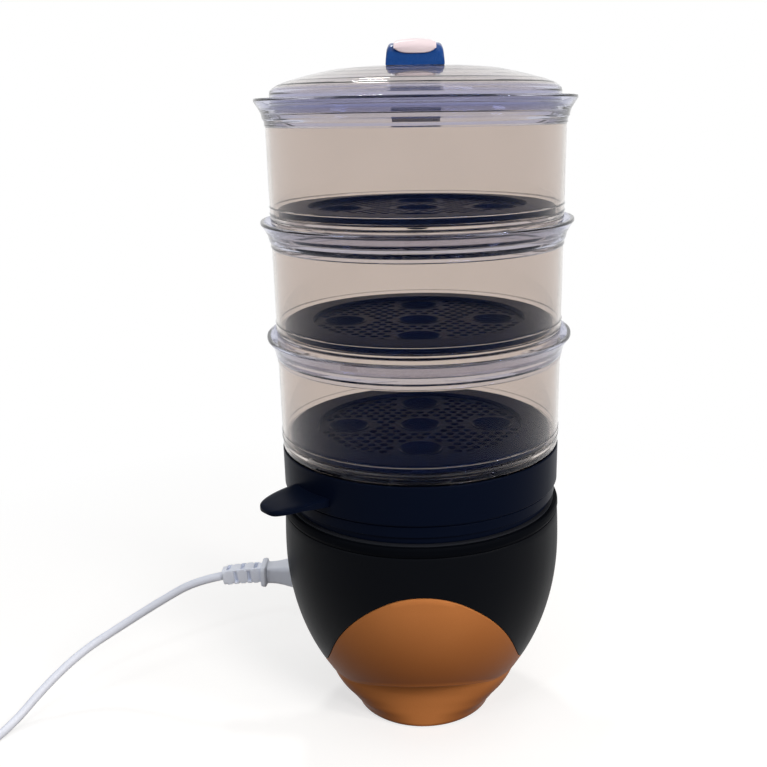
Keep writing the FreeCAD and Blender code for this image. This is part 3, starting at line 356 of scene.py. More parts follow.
def rounded(corners, steps=5):
    """An outline of (across, up, radius) corners, each rounded by its radius, as plain points."""
    points = []
    count = len(corners)
    for index, (x, z, radius) in enumerate(corners):
        here = Vector((x, z))
        if not radius:
            points.append(here)
            continue
        before = Vector(corners[index - 1][:2]) - here
        after = Vector(corners[(index + 1) % count][:2]) - here
        half = 0.5 * before.angle(after)
        cut = min(radius / math.tan(half), 0.48 * before.length, 0.48 * after.length)
        size = cut * math.tan(half)
        first = here + before.normalized() * cut
        last = here + after.normalized() * cut
        centre = here + (before.normalized() + after.normalized()).normalized() * math.hypot(size, cut)
        for step in range(steps + 1):
            ray = (first - centre).normalized().slerp((last - centre).normalized(), step / steps)
            points.append(centre + ray * size)
    return points


def circle(radius, count, x=0.0, y=0.0):
    """Points of a circle."""
    angles = [TURN * k / count for k in range(count)]
    return [(x + radius * math.cos(angle), y + radius * math.sin(angle)) for angle in angles]


def stepped(first, last, count):
    """Evenly spaced values from the first to the last, in so many steps."""
    return [first + (last - first) * step / count for step in range(count + 1)]


def wheel(name, sections, crease=40.0):
    """Joins closed sections, one per direction round the axis, into a ring-shaped skin."""
    points = []
    faces = []
    turns = len(sections)
    around = len(sections[0])
    for turn, section in enumerate(sections):
        angle = TURN * turn / turns
        for across, up in section:
            points.append((across * math.cos(angle), across * math.sin(angle), up))
    for turn in range(turns):
        here = turn * around
        there = (turn + 1) % turns * around
        for step in range(around):
            after = (step + 1) % around
            faces.append((here + step, there + step, there + after, here + after))
    return mesh_of(name, points, faces, crease)


def supported(outline, gap=0.15):
    """Adds a point just inside each end of a long straight stretch off the axis; its shading then stays flat."""
    points = []
    for index, corner in enumerate(outline):
        here = Vector(corner)
        there = Vector(outline[(index + 1) % len(outline)])
        points.append(here)
        if (there - here).length > 8 * gap and max(here.x, there.x) > 0.5:
            ray = (there - here).normalized() * gap
            points += [here + ray, there - ray]
    return points


def lathe(name, outline, turns=192, crease=40.0):
    """A closed outline of (radius, level) points turned round the axis."""
    return wheel(name, [[(max(p[0], 0.0), p[1]) for p in supported(outline)]] * turns, crease)


def shifted(mesh, x, y, z):
    """The same mesh, moved by millimetres."""
    mesh.transform(Matrix.Translation((x * MM, y * MM, z * MM)))
    return mesh


def merged(name, meshes, crease=40.0):
    """Several meshes in one."""
    work = bmesh.new()
    for mesh in meshes:
        work.from_mesh(mesh)
    whole = bpy.data.meshes.new(name)
    work.to_mesh(whole)
    work.free()
    for mesh in meshes:
        bpy.data.meshes.remove(mesh)
    return smooth(whole, crease)


def carved(mesh, steps, crease=40.0):
    """The mesh after a chain of (operation, tool) booleans; the tools are used up."""
    collection = bpy.context.scene.collection
    host = bpy.data.objects.new("host", mesh)
    collection.objects.link(host)
    tools = []
    for operation, tool_mesh in steps:
        tool = bpy.data.objects.new("tool", tool_mesh)
        collection.objects.link(tool)
        tools.append(tool)
        cut = host.modifiers.new("cut", "BOOLEAN")
        cut.operation = operation
        cut.solver = "EXACT"
        cut.object = tool
    result = bpy.data.meshes.new_from_object(host.evaluated_get(bpy.context.evaluated_depsgraph_get()))
    result.name = mesh.name + "_carved"
    for one in [host] + tools:
        used = one.data
        bpy.data.objects.remove(one)
        bpy.data.meshes.remove(used)
    result.materials.clear()
    return smooth(result, crease)


def rod(radius, start, end, x=0.0, level=0.0, sides=96):
    """A plain cylinder along Y."""
    loop = circle(radius, sides)
    return swept("rod", [(Vector((x, y, level)), ALONG_X, ALONG_Z, loop) for y in (start, end)])


def bar(width, height, corner, start, end):
    """A bar along X at the inlet, with rounded corners."""
    loop = rounded_block_loop(0.5 * width, 0.5 * height, corner)
    return swept("bar", [(Vector((x, INLET_Y, INLET_LEVEL)), ALONG_Y, ALONG_Z, loop) for x in (start, end)])


def blend_values(x, xs, ys):
    """Smooth interpolation through a table, without overshoot."""
    if x <= xs[0]:
        return ys[0]
    if x >= xs[-1]:
        return ys[-1]
    index = max(i for i in range(len(xs) - 1) if xs[i] <= x)
    slopes = [(ys[i + 1] - ys[i]) / (xs[i + 1] - xs[i]) for i in range(len(xs) - 1)]

    def tangent(i):
        if i == 0:
            return slopes[0]
        if i == len(xs) - 1:
            return slopes[-1]
        a, b = slopes[i - 1], slopes[i]
        return 0.0 if a * b <= 0 else 2 * a * b / (a + b)

    width = xs[index + 1] - xs[index]
    t = (x - xs[index]) / width
    m0, m1 = tangent(index) * width, tangent(index + 1) * width
    return ((2 * t ** 3 - 3 * t ** 2 + 1) * ys[index] + (t ** 3 - 2 * t ** 2 + t) * m0
            + (3 * t ** 2 - 2 * t ** 3) * ys[index + 1] + (t ** 3 - t ** 2) * m1)


# ---------------------------------------------------------------- sizes of the solids, in millimetres
EGG_RADIUS, EGG_LEVEL, EGG_DROP, EGG_WALL = 114.0, 150.0, 155.0, 3.0
SEAM_LEVEL, SEAM_RADIUS = 182.5, 112.8
ARCH_LEVEL, ARCH_RISE = 48.0, 103.0
CORE_LEVEL = 44.0
LIP_LEVEL, LIP_RISE, LIP_REACH = 46.5, 17.0, 73.0
COLLAR_TOP = 190.4
DRIP_BOTTOM = 191.9
DRIP_TOP = 238.1
FIRST_BOWL = 232.1
BOWL_PITCH = 87.3
BOWL_HEIGHT = 97.3
BOWL_RADIUS = 111.6
TRAY_SEAT = 20.4
TRAY_FLOOR, TRAY_FLOOR_RADIUS, TRAY_WALL = -3.5, 82.0, 2.2
CUP_CIRCLE, CUP_WELL, HOLE_RADIUS, HOLE_PITCH = 58.5, 17.2, 3.4, 9.4
LID_SEAT = 494.0
HANDLE_SEAT = 527.0
CORD_DIAMETER = 7.3
INLET_Y, INLET_LEVEL = 18.0, 108.0
DIAL_SEAT, DIAL_RADIUS, DIAL_LEVEL = 99.0, 25.5, 99.0
LAMP_LEVEL = 139.0
CONNECTOR_FRONT = -101.3
CONNECTOR_LENGTH = 39.7
RELIEF_LENGTH = 34.0
RELIEF_DROOP = math.radians(9.0)


# ---------------------------------------------------------------- lead
def relief_place(share):
    """Point and heading on the bent axis of the strain relief, from the guard to the cord."""
    radius = RELIEF_LENGTH / RELIEF_DROOP
    angle = RELIEF_DROOP * share
    start = Vector((CONNECTOR_FRONT - CONNECTOR_LENGTH, INLET_Y, INLET_LEVEL))
    place = start + Vector((-radius * math.sin(angle), 0, -radius * (1 - math.cos(angle))))
    return place, Vector((-math.cos(angle), 0, -math.sin(angle)))


def coil_points():
    """Two turns and a quarter, clockwise: out, in, then up over the first turn and off on the far side."""
    centre = Vector((-462.0, -102.5))
    outer, inner = 41.65, 34.35
    per_turn = 16
    stretch = 0.75 + 0.25 * math.cos(TURN / per_turn)
    lay = 0.5 * CORD_DIAMETER
    points = []
    for step in range(1, 2 * per_turn + 4):
        turn = step / per_turn
        lane = blend_values(turn, (0, 0.78, 1.02, 1.8, 2.1, 2.3), (outer, outer, inner, inner, 38.0, 39.5))
        level = blend_values(turn, (0, 1.66, 1.9, 2.3), (lay, lay, lay + CORD_DIAMETER, lay + CORD_DIAMETER))
        angle = math.radians(270.0) - TURN * turn
        radius = lane / stretch
        points.append((centre.x + radius * math.cos(angle), centre.y + radius * math.sin(angle), level))
    return points


def cord_points():
    """The cord's route: out of the boot, down to the table, round the coil and up into the plug."""
    lay = 0.5 * CORD_DIAMETER
    start, heading = relief_place(1.0)
    run = [tuple(start - heading * 6.0), tuple(start + heading * 24.0)]
    run += [
        (-234, 19.5, 80), (-270, 14, 58.5), (-301, -1, 43), (-326, -24, 25), (-348, -52, lay), (-362, -88, lay),
        (-378, -118, lay), (-398, -135, lay), (-420, -143.3, lay), (-446, -144.6, lay),
    ]
    run += coil_points()
    plug_axis = Vector((math.cos(math.radians(68)), math.sin(math.radians(68)), 0))
    end = Vector((-485, -2, 18)) + plug_axis * 4.0
    run += [(-503.6, -86, 10.6), (-503.4, -60, 9.4), (-500.0, -39, 10.4), (-492.8, -20, 16.2), tuple(end)]
    return run


def cord_piece():
    """The cord as a round tube along its route."""
    data = bpy.data.curves.new("cord_run", "CURVE")
    data.dimensions = "3D"
    spline = data.splines.new("NURBS")
    points = cord_points()
    spline.points.add(len(points) - 1)
    for point, place in zip(spline.points, points):
        point.co = (*(c * MM for c in place), 1.0)
    spline.order_u = 3
    spline.use_endpoint_u = True
    spline.resolution_u = 10
    data.bevel_depth = 0.5 * CORD_DIAMETER * MM
    data.bevel_resolution = 6
    data.use_fill_caps = True
    return piece("cord_run", data, "white_plastic", "lead", "cord", "cord_coil", "cord_tail")


CORD = cord_piece()


# ---------------------------------------------------------------- housing
def egg_width(level, inset=0.0):
    """Radius of the egg at a level, or of an egg that lies further in."""
    if level > EGG_LEVEL:
        share = (level - EGG_LEVEL) / (SEAM_LEVEL - EGG_LEVEL)
        return EGG_RADIUS - inset - (EGG_RADIUS - SEAM_RADIUS) * share ** 2
    share = (EGG_LEVEL - level) / (EGG_DROP - inset)
    return (EGG_RADIUS - inset) * math.sqrt(max(0.0, 1 - share ** 2))


ARCH = ((0, 1.0), (10, 0.967), (20, 0.862), (30, 0.697), (40, 0.476), (46, 0.335),
        (52, 0.223), (58, 0.141), (64, 0.092), (75, 0.044), (90, 0.019))


def natural_curve(table):
    """Second slopes of the smooth curve through a table that is mirrored about its first entry."""
    xs = [-x for x, _ in reversed(table[1:])] + [x for x, _ in table]
    ys = [y for _, y in reversed(table[1:])] + [y for _, y in table]
    count = len(xs)
    over, right = [0.0] * count, [0.0] * count
    for i in range(1, count - 1):
        before, after = xs[i] - xs[i - 1], xs[i + 1] - xs[i]
        rise = (ys[i + 1] - ys[i]) / after - (ys[i] - ys[i - 1]) / before
        pivot = 2 * (before + after) - before * over[i - 1]
        over[i] = after / pivot
        right[i] = (6 * rise - before * right[i - 1]) / pivot
    bends = [0.0] * count
    for i in range(count - 2, 0, -1):
        bends[i] = right[i] - over[i] * bends[i + 1]
    return xs, ys, bends


def along_curve(x, curve):
    """Height of such a curve at x."""
    xs, ys, bends = curve
    i = max(k for k in range(len(xs) - 1) if xs[k] <= x or k == 0)
    width = xs[i + 1] - xs[i]
    a, b = (xs[i + 1] - x) / width, (x - xs[i]) / width
    return (a * ys[i] + b * ys[i + 1]
            + ((a ** 3 - a) * bends[i] + (b ** 3 - b) * bends[i + 1]) * width ** 2 / 6)


ARCH_CURVE = natural_curve(ARCH)


def seam_level_at(angle):
    """Level of the arched seam in a direction; it is highest at the front and the back."""
    away = math.degrees(math.acos(min(1.0, abs(math.sin(angle)))))
    return ARCH_LEVEL + ARCH_RISE * along_curve(away, ARCH_CURVE)


LIP = ((0.0, 1.0), (0.3, 0.9), (0.6, 0.6), (0.8, 0.22), (1.0, 0.03), (1.25, 0.0))


def lip_level_at(angle):
    """Level where the belly's lower lip meets the egg in a direction."""
    level = LIP_LEVEL
    for _ in range(12):
        share = abs(egg_width(level) * math.cos(angle)) / LIP_REACH
        level = LIP_LEVEL + LIP_RISE * blend_values(share, *zip(*LIP))
    return level


def pedestal_width(level, angle):
    """Radius of the foot in a direction: round below, wide at the sides, hollowed at front and back."""
    levels = [1.0, 8.04, 15.08, 25.2, 34.88, 45.0, 52.4, 58.9, 67.2]
    sides = [58.0, 59.6, 64.0, 73.6, 78.9, 81.0, 81.6, 82.9, 84.8]
    fronts = [58.0, 58.1, 58.3, 58.9, 59.5, 60.2, 61.8, 66.6, 76.2]
    square = [2.0, 2.256, 2.5, 2.5, 2.5, 2.5, 2.475, 2.4, 2.25]
    a = blend_values(level, levels, sides)
    b = blend_values(level, levels, fronts)
    n = blend_values(level, levels, square)
    return (abs(math.cos(angle) / a) ** n + abs(math.sin(angle) / b) ** n) ** (-1 / n)


def housing_columns(section, count=288):
    """Sections of a housing shell, one for each direction round the egg."""
    return [section(angle) for angle in stepped(0.0, TURN, count)[:-1]]


def upper_section(angle):
    """Outside from the seam up to the top edge, then the inside back down to the seam."""
    low = seam_level_at(angle) + 0.25
    outside = [(egg_width(low + 0.5) - 1.0, low), (egg_width(low + 0.2) - 0.25, low + 0.12)]
    outside += [(egg_width(level), level) for level in stepped(low + 0.7, SEAM_LEVEL - 1.0, 24)]
    top = [(SEAM_RADIUS - 0.3, SEAM_LEVEL - 0.25), (SEAM_RADIUS - 1.0, SEAM_LEVEL),
           (SEAM_RADIUS - EGG_WALL, SEAM_LEVEL)]
    inside = [(egg_width(max(level, low), EGG_WALL), level) for level in stepped(SEAM_LEVEL - 0.5, low, 24)]
    return outside + top + inside


def lower_section(angle):
    """Seam edge, belly, lip, ledge and foot column on the outside, and the same walls inside."""
    high = seam_level_at(angle)
    low = min(lip_level_at(angle), high - 1.5)
    under = pedestal_width(low, angle)
    reach = max(egg_width(low) - under, 0.0)
    roll = min(1.3, 0.45 * reach, 0.45 * (high - 1.0 - low))
    nook = min(3.0, 0.4 * reach)
    section = [
        (egg_width(high) - EGG_WALL, high - 0.25), (egg_width(high) - 1.5, high - 0.25),
        (egg_width(high) - 0.85, high - 0.35), (egg_width(high - 0.5) - 0.3, high - 0.6),
    ]
    section += [(egg_width(level), level) for level in stepped(high - 1.0, low + roll, 20)]
    edge = egg_width(low + roll)
    for bend in stepped(0.0, 0.5 * math.pi, 5)[1:]:
        section.append((edge - roll * (1 - math.cos(bend)), low + roll * (1 - math.sin(bend))))
    corner = section[-1]
    for share in stepped(0.0, 1.0, 4)[1:]:
        section.append((corner[0] + (under + nook - corner[0]) * share, corner[1] + 0.4 * share))
    for bend in stepped(0.0, 0.5 * math.pi, 4)[1:]:
        level = low + 0.4 - nook * (1 - math.cos(bend))
        section.append((pedestal_width(level, angle) + nook * (1 - math.sin(bend)), level))
    section += [(pedestal_width(level, angle), level) for level in stepped(section[-1][1], 2.0, 24)[1:]]
    section += [(57.7, 1.3), (57.0, 1.0), (55.4, 1.0), (55.0, 1.4), (55.0, 5.5)]
    for level in stepped(5.5, low + 1.0, 12):
        width = min(pedestal_width(level, angle), egg_width(max(level, CORE_LEVEL)))
        section.append((width - EGG_WALL, level))
    section += [(egg_width(level, EGG_WALL), level) for level in stepped(low + 1.5, high - 0.5, 12)]
    return section


def egg_core():
    """The solid egg that ends inside the wall; it trims what is set into the shells from behind."""
    levels = stepped(CORE_LEVEL, SEAM_LEVEL, 40)
    outline = [(0.0, levels[0])] + [(egg_width(level, 1.4), level) for level in levels] + [(0.0, levels[-1])]
    return lathe("egg_core", outline)


def housing():
    """The two shells with the inlet's pocket at the left and the dial's seat at the back, and the collar."""
    seat = carved(bar(36.0, 29.0, 6.0, -140.0, -98.5), [("INTERSECT", egg_core())])
    upper = carved(wheel("upper_shell", housing_columns(upper_section)), [
        ("UNION", seat),
        ("DIFFERENCE", bar(31.0, 24.0, 4.0, -141.0, -101.0)),
        ("DIFFERENCE", bar(25.0, 17.0, 2.0, -121.0, -81.0)),
    ])
    dial = rod(DIAL_RADIUS + EGG_WALL, DIAL_SEAT - EGG_WALL, 120.0, 0.0, DIAL_LEVEL)
    dial = carved(dial, [("INTERSECT", egg_core())])
    steps = [
        ("UNION", dial),
        ("DIFFERENCE", rod(DIAL_RADIUS, DIAL_SEAT, 121.0, 0.0, DIAL_LEVEL)),
        ("DIFFERENCE", rod(5.3, DIAL_SEAT - 5.0, DIAL_SEAT + 1.0, 0.0, DIAL_LEVEL)),
        ("DIFFERENCE", rod(3.6, 103.0, 122.0, 0.0, LAMP_LEVEL)),
    ]
    for x in (-15.0, 15.0):
        steps.append(("DIFFERENCE", rod(3.1, DIAL_SEAT - 1.8, DIAL_SEAT + 1.0, x, DIAL_LEVEL, 32)))
    lower = carved(wheel("lower_shell", housing_columns(lower_section)), steps)
    collar = lathe("collar_ring", rounded([
        (107.5, 176.0, 0), (109.5, 176.0, 0), (109.5, 182.7, 0), (112.3, 182.7, 0.5), (113.2, 185.2, 1.5),
        (113.0, 188.4, 1.2), (112.3, COLLAR_TOP, 0.8), (107.5, COLLAR_TOP, 0),
    ]))
    return upper, lower, collar


# ---------------------------------------------------------------- drip tray
def drip_tray_mesh():
    """Stepped rim, trough and steam chimney of the drip tray."""
    floor = DRIP_BOTTOM - 16.0
    outside = [
        (107.0, DRIP_BOTTOM, 0.6), (107.0, 197.5, 0.5), (109.8, 197.5, 0.8), (109.8, 205.6, 0.4),
        (108.9, 206.2, 0.3), (108.9, 207.4, 0.2), (111.2, 207.4, 0.3), (111.8, 208.2, 0.6),
        (111.8, DRIP_TOP, 0.7), (110.0, DRIP_TOP, 0.4),
    ]
    inside = [
        (110.0, 231.8, 0.4), (106.5, 231.8, 0.5), (106.5, 229.4, 0.4), (109.4, 226.4, 1.0), (109.4, 210.0, 1.0),
        (107.6, 207.6, 1.0), (107.6, 199.9, 1.0), (104.6, 199.9, 1.0), (104.6, 194.3, 1.0), (100.9, 194.3, 1.0),
        (96.9, floor + 2.4, 3.0),
    ]
    chimney = [
        (28.0, floor + 2.4, 2.0), (25.0, floor + 34.0, 1.5), (13.0, floor + 38.0, 3.0), (0.0, floor + 38.0, 0),
        (0.0, floor + 35.6, 0), (12.0, floor + 35.6, 2.0), (22.6, floor + 31.6, 1.0), (25.6, floor, 1.0),
    ]
    underside = [(99.3, floor, 2.0), (103.3, DRIP_BOTTOM, 1.0)]
    body = lathe("drip_tray_body", rounded(outside + inside + chimney + underside))
    return merged("drip_tray_form", [body] + [tab_mesh(angle) for angle in (221.0, 41.0)])


def tab_mesh(angle):
    """A broad blunt tongue, nearly level, thick at its root, with a rounded rim and a shallow dip on top."""
    root, reach, half_width = 103.0, 48.9, 22.0
    length_steps, width_steps = 40, 32
    top, bottom = [], []
    for i in range(length_steps + 1):
        along = 1 - (1 - i / length_steps) ** 1.8
        span = half_width * (1 - along ** 2.6) ** (1 / 2.6)
        for j in range(width_steps + 1):
            across = -math.cos(math.pi * j / width_steps)
            x, y = root + reach * along, span * across
            edge = max(abs(across) ** 6 if along < 1 else 1.0, along ** 14)
            high = 221.6 - 3.0 * along ** 1.6
            thick = 9.5 - 4.5 * min(1.0, along / 0.6)
            dip = 0.9 * (1 - across ** 2) * math.sin(math.pi * min(1.0, along + 0.2)) ** 2
            round_off = min(1.3, 0.42 * thick) * edge ** 1.5
            top.append((x, y, high - dip - round_off))
            bottom.append((x, y, high - thick + round_off))
    wide = width_steps + 1
    shift = len(top)
    faces = []
    for i in range(length_steps):
        for j in range(width_steps):
            a = i * wide + j
            faces.append((a, a + wide, a + wide + 1, a + 1))
            faces.append((shift + a, shift + a + 1, shift + a + wide + 1, shift + a + wide))
    ring = list(range(wide)) + [i * wide + width_steps for i in range(1, length_steps + 1)]
    ring += [length_steps * wide + j for j in range(width_steps - 1, -1, -1)]
    ring += [i * wide for i in range(length_steps - 1, 0, -1)]
    for a, b in zip(ring, ring[1:] + ring[:1]):
        faces.append((a, b, shift + b, shift + a))
    mesh = mesh_of("tab", top + bottom, faces, 60.0)
    mesh.transform(Matrix.Rotation(math.radians(angle), 4, "Z"))
    return mesh


# ---------------------------------------------------------------- bowls
def bowl_mesh():
    """One clear bowl from its foot at level 0: nesting skirt, tray ledge, two fine beads, flared rim."""
    top, wide = BOWL_HEIGHT, BOWL_RADIUS
    seat = top - 10.3
    inner = wide - 2.4
    skirt = [(106.5, 0.0, 0.5), (109.5, 0.0, 0.6), (109.5, 6.8, 0.4), (wide - 0.4, 7.8, 1.2), (wide, 10.0, 1.5)]
    beads = []
    for level in (15.7, 20.7):
        beads += [(wide, level - 0.5, 0.3), (wide + 0.5, level, 0.3), (wide, level + 0.5, 0.3)]
    flare = [
        (wide, top - 19.6, 1.0), (wide + 0.7, top - 19.0, 0.4), (wide + 0.6, top - 16.5, 0.8),
        (wide + 1.7, top - 14.6, 0.5), (wide + 2.6, top - 10.4, 2.0), (wide + 4.6, top - 6.6, 3.0),
        (119.3, top - 1.9, 0.8), (119.0, top, 0.7),
    ]
    inside = [
        (116.4, top, 0.6), (115.9, top - 1.2, 0.4), (112.6, top - 6.8, 2.0), (112.2, seat + 0.4, 0.5),
        (107.5, seat, 0.4), (107.5, seat - 2.6, 0.4), (inner, top - 19.4, 1.5), (inner, 15.2, 0.4),
        (inner - 0.4, 14.2, 0.4), (100.0, 14.0, 0.5), (100.0, 11.4, 0.5), (106.5, 11.0, 0.8),
    ]
    outline = rounded(skirt + beads + flare + inside, 4)
    return lathe("bowl_form", outline, 240, 50.0)


# ---------------------------------------------------------------- trays
def hole_centres():
    """A lattice of steam holes that leaves the egg cups and the edge free."""
    reach = TRAY_FLOOR_RADIUS - 4.0
    apart = CUP_WELL + 4.0
    row_pitch = 0.866 * HOLE_PITCH
    cups = [(0.0, 0.0)] + circle(CUP_CIRCLE, 4)
    centres = []
    rows = int(reach / row_pitch) + 1
    for row in range(-rows, rows + 1):
        y = row * row_pitch
        for column in range(-rows, rows + 1):
            x = (column + 0.5 * (row % 2)) * HOLE_PITCH
            clear = all(math.hypot(x - a, y - b) > apart for a, b in cups)
            if clear and math.hypot(x, y) < reach:
                centres.append((x, y))
    return centres, cups


def perforated_plate(centres, wells):
    """The tray's flat floor with its holes and wells, from a triangulated outline with its walls added."""
    loops = [circle(TRAY_FLOOR_RADIUS + 0.2, 128)]
    loops += [circle(HOLE_RADIUS, 18, *centre) for centre in centres]
    loops += [circle(CUP_WELL, 64, *centre) for centre in wells]
    points = [Vector(p) for loop in loops for p in loop]
    edges = []
    start = 0
    for loop in loops:
        count = len(loop)
        edges += [(start + k, start + (k + 1) % count) for k in range(count)]
        start += count
    flat, _, triangles, *_ = delaunay_2d_cdt(points, edges, [], 0, 1e-6)

    def solid(triangle):
        middle = sum((flat[k] for k in triangle), Vector((0, 0))) / 3
        near = [c for c in centres if abs(middle.x - c[0]) < HOLE_RADIUS]
        if any((middle - Vector(c)).length < 0.97 * HOLE_RADIUS for c in near):
            return False
        return all((middle - Vector(c)).length > 0.99 * CUP_WELL for c in wells)

    kept = [tuple(t) for t in triangles if solid(t)]
    count = len(flat)
    levels = (TRAY_FLOOR, TRAY_FLOOR - TRAY_WALL)
    made = [(p.x, p.y, level) for level in levels for p in flat]
    faces = kept + [tuple(count + k for k in reversed(t)) for t in kept]
    sides = dict.fromkeys(side for t in kept for side in zip(t, t[1:] + t[:1]))
    faces += [(b, a, count + a, count + b) for a, b in sides if (b, a) not in sides]
    return mesh_of("plate", made, faces, 30.0)


def tray_mesh():
    """One tray with its top at level 0: skirt, sloping land, sunk perforated floor and five egg cups."""
    inner = TRAY_FLOOR_RADIUS
    ring = lathe("ring", rounded([
        (inner, TRAY_FLOOR, 0.0), (inner + 0.4, TRAY_FLOOR, 0.3), (inner + 1.2, -0.1, 0.5), (103.6, -0.9, 1.0),
        (105.0, -1.4, 0.9), (105.0, -6.1, 0.4), (102.8, -6.1, 0.4), (102.8, -3.2, 0.4),
        (inner + 2.0, -2.5, 0.5), (inner, TRAY_FLOOR - TRAY_WALL, 0.0),
    ], 4), 192, 35.0)
    centres, cups = hole_centres()
    meshes = [ring, perforated_plate(centres, cups)]
    meshes += [shifted(cup_mesh(index), x, y, TRAY_FLOOR) for index, (x, y) in enumerate(cups)]
    return merged("tray_form", meshes, 35.0)


def cup_mesh(index):
    """An egg cup: a rolled edge that stands a little proud, a bowl and a small nub in the middle."""
    nub = 3.0 if index == 0 else 2.2
    return lathe("cup" + str(index), rounded([
        (0.0, -5.4, 0.0), (nub - 0.6, -5.4, 0.4), (nub, -6.5, 0.4), (6.0, -6.5, 3.0), (13.2, -3.4, 6.0),
        (16.0, 0.5, 0.6), (17.4, 0.5, 0.5), (17.4, -2.2, 0.3), (14.6, -4.2, 3.0), (7.0, -8.7, 3.0),
        (0.0, -8.7, 0.0),
    ], 4), 64, 40.0)


# ---------------------------------------------------------------- lid
def lid_mesh():
    """The domed lid: nesting skirt, straight edge, rolled shoulder and shallow crown."""
    edge = LID_SEAT + 14.0
    crown = edge + 17.0
    wall = 2.2
    dome = [(105.0, edge + 2.9), (102.0, edge + 5.0), (95.0, edge + 7.6), (85.9, edge + 10.0), (75.7, edge + 12.5),
            (64.3, edge + 14.9), (52.0, edge + 16.3), (38.0, crown - 0.1), (20.0, crown)]
    outline = [(109.5, LID_SEAT, 0.6), (109.5, LID_SEAT + 6.0, 0.5), (107.5, LID_SEAT + 8.0, 0.6),
               (107.5, edge - 1.0, 0.6), (107.0, edge + 1.2, 1.4)]
    outline += [(x, z, 6.0) for x, z in dome] + [(0.0, crown, 0.0), (0.0, crown - wall, 0.0)]
    outline += [(x - 0.8, z - wall, 6.0) for x, z in reversed(dome)]
    outline += [(105.3, edge - 1.6, 0.8), (105.3, LID_SEAT + 8.0, 0.5), (107.3, LID_SEAT + 6.0, 0.5),
                (107.3, LID_SEAT, 0.5)]
    vents = []
    for x in (-34.0, 34.0):
        vent = [(0.0, crown - 8.0), (2.0, crown - 8.0), (2.0, crown + 4.0), (0.0, crown + 4.0)]
        vents.append(("DIFFERENCE", shifted(lathe("vent", vent, 24), x, 0, 0)))
    return carved(lathe("lid_form", rounded(outline, 4), 240, 50.0), vents, 50.0)


def strip(name, stations, section):
    """Joins one section for each station along Y."""
    rings = [(Vector((0, y, 0)), ALONG_X, ALONG_Z, section(*values)) for y, *values in stations]
    return swept(name, rings, 50.0)


def handle_section(low, high):
    """Section across the handle: sides that lean in a little and round shoulders."""
    def half(level):
        return 20.2 - 1.1 * max(0.0, min(1.0, (level - HANDLE_SEAT + 3.0) / 14.0))

    shoulder = min(4.4, 0.45 * (high - low))
    return rounded([
        (-half(low), low, 0.5), (half(low), low, 0.5), (half(high), high, shoulder), (-half(high), high, shoulder),
    ], 8)


def handle_stations():
    """Lower and upper level of the handle along its length: feet at the ends and a bridge between them."""
    half, grip = 56.0, 33.0
    places = [-half, -half + 0.15, -half + 0.5, -half + 1.2, -half + 2.4, -half + 4.2, -half + 7.0, -46.0]
    places += [-42.0, -37.0, -grip - 0.8, -grip, -grip + 0.8, -grip + 2.4, -grip + 5.0, -grip + 9.0, -18.0, -9.0]
    places += [0.0] + [-y for y in reversed(places)]
    tops = (0.0, 24.0, 44.0, 50.0, 53.4, 55.2, 55.8, 56.0), (14.0, 13.0, 11.3, 10.2, 8.2, 5.6, 3.4, 2.0)
    lows = (0.0, 18.0, 25.0, 30.5, 32.4, 33.2, 34.5, 56.0), (7.2, 6.8, 6.0, 3.8, 1.4, -1.0, -2.2, -3.0)
    return [(y, *(HANDLE_SEAT + blend_values(abs(y), *table) for table in (lows, tops))) for y in places]


def handle_mesh():
    return strip("handle_form", handle_stations(), handle_section)


def inset_section(high, low, crown, dip):
    """Section across the pale strip: crowned above; dip rounds its lower edge where it hangs over the end."""
    half, steps = 14.4, 20
    top, bottom = [], []
    for step in range(steps + 1):
        x = -half * math.cos(math.pi * step / steps)
        share = abs(x) / half
        level = high - crown * (0.6 * share ** 2 + 0.4 * share ** 8)
        top.append((x, level))
        bottom.append((x, min(low + dip * share ** 4, level - 0.35)))
    return bottom + top[::-1]


def inset_mesh():
    """The pale strip along the top of the handle, bent down over both ends in a round tongue."""
    away = (0.0, 15.0, 30.0, 40.0, 48.0, 52.0, 54.6, 56.0, 56.7, 57.0)
    tops = (17.2, 16.6, 15.4, 14.5, 13.8, 13.2, 12.3, 11.2, 10.0, 9.0)
    feet = (12.0, 12.0, 11.0, 9.6, 7.6, 5.8, 4.6, 4.4, 4.6, 5.2)
    stations = []
    for y in [-p for p in reversed(away[1:])] + list(away):
        here = abs(y)
        high, low = HANDLE_SEAT + blend_values(here, away, tops), HANDLE_SEAT + blend_values(here, away, feet)
        crown, dip = blend_values(here, (48.0, 57.0), (2.2, 1.2)), blend_values(here, (48.0, 54.6), (0.5, 3.4))
        stations.append((y, high, low, crown, dip))
    return strip("inset_form", stations, inset_section)


# ---------------------------------------------------------------- connector and strain relief
def rounded_block_loop(half_width, half_height, radius, steps=6):
    """A rectangle with rounded corners."""
    return rounded([
        (-half_width, -half_height, radius), (half_width, -half_height, radius),
        (half_width, half_height, radius), (-half_width, half_height, radius),
    ], steps)


def swept(name, rings, crease=35.0):
    """Joins sections that are each given with a place, a side direction and an up direction."""
    points = []
    faces = []
    around = len(rings[0][3])
    for place, side, up, loop in rings:
        points += [tuple(place + side * x + up * z) for x, z in loop]
    for index in range(len(rings) - 1):
        a, b = index * around, (index + 1) * around
        for step in range(around):
            after = (step + 1) % around
            faces.append((a + step, b + step, b + after, a + after))
    faces.append(tuple(reversed(range(around))))
    faces.append(tuple((len(rings) - 1) * around + k for k in range(around)))
    return mesh_of(name, points, faces, crease)


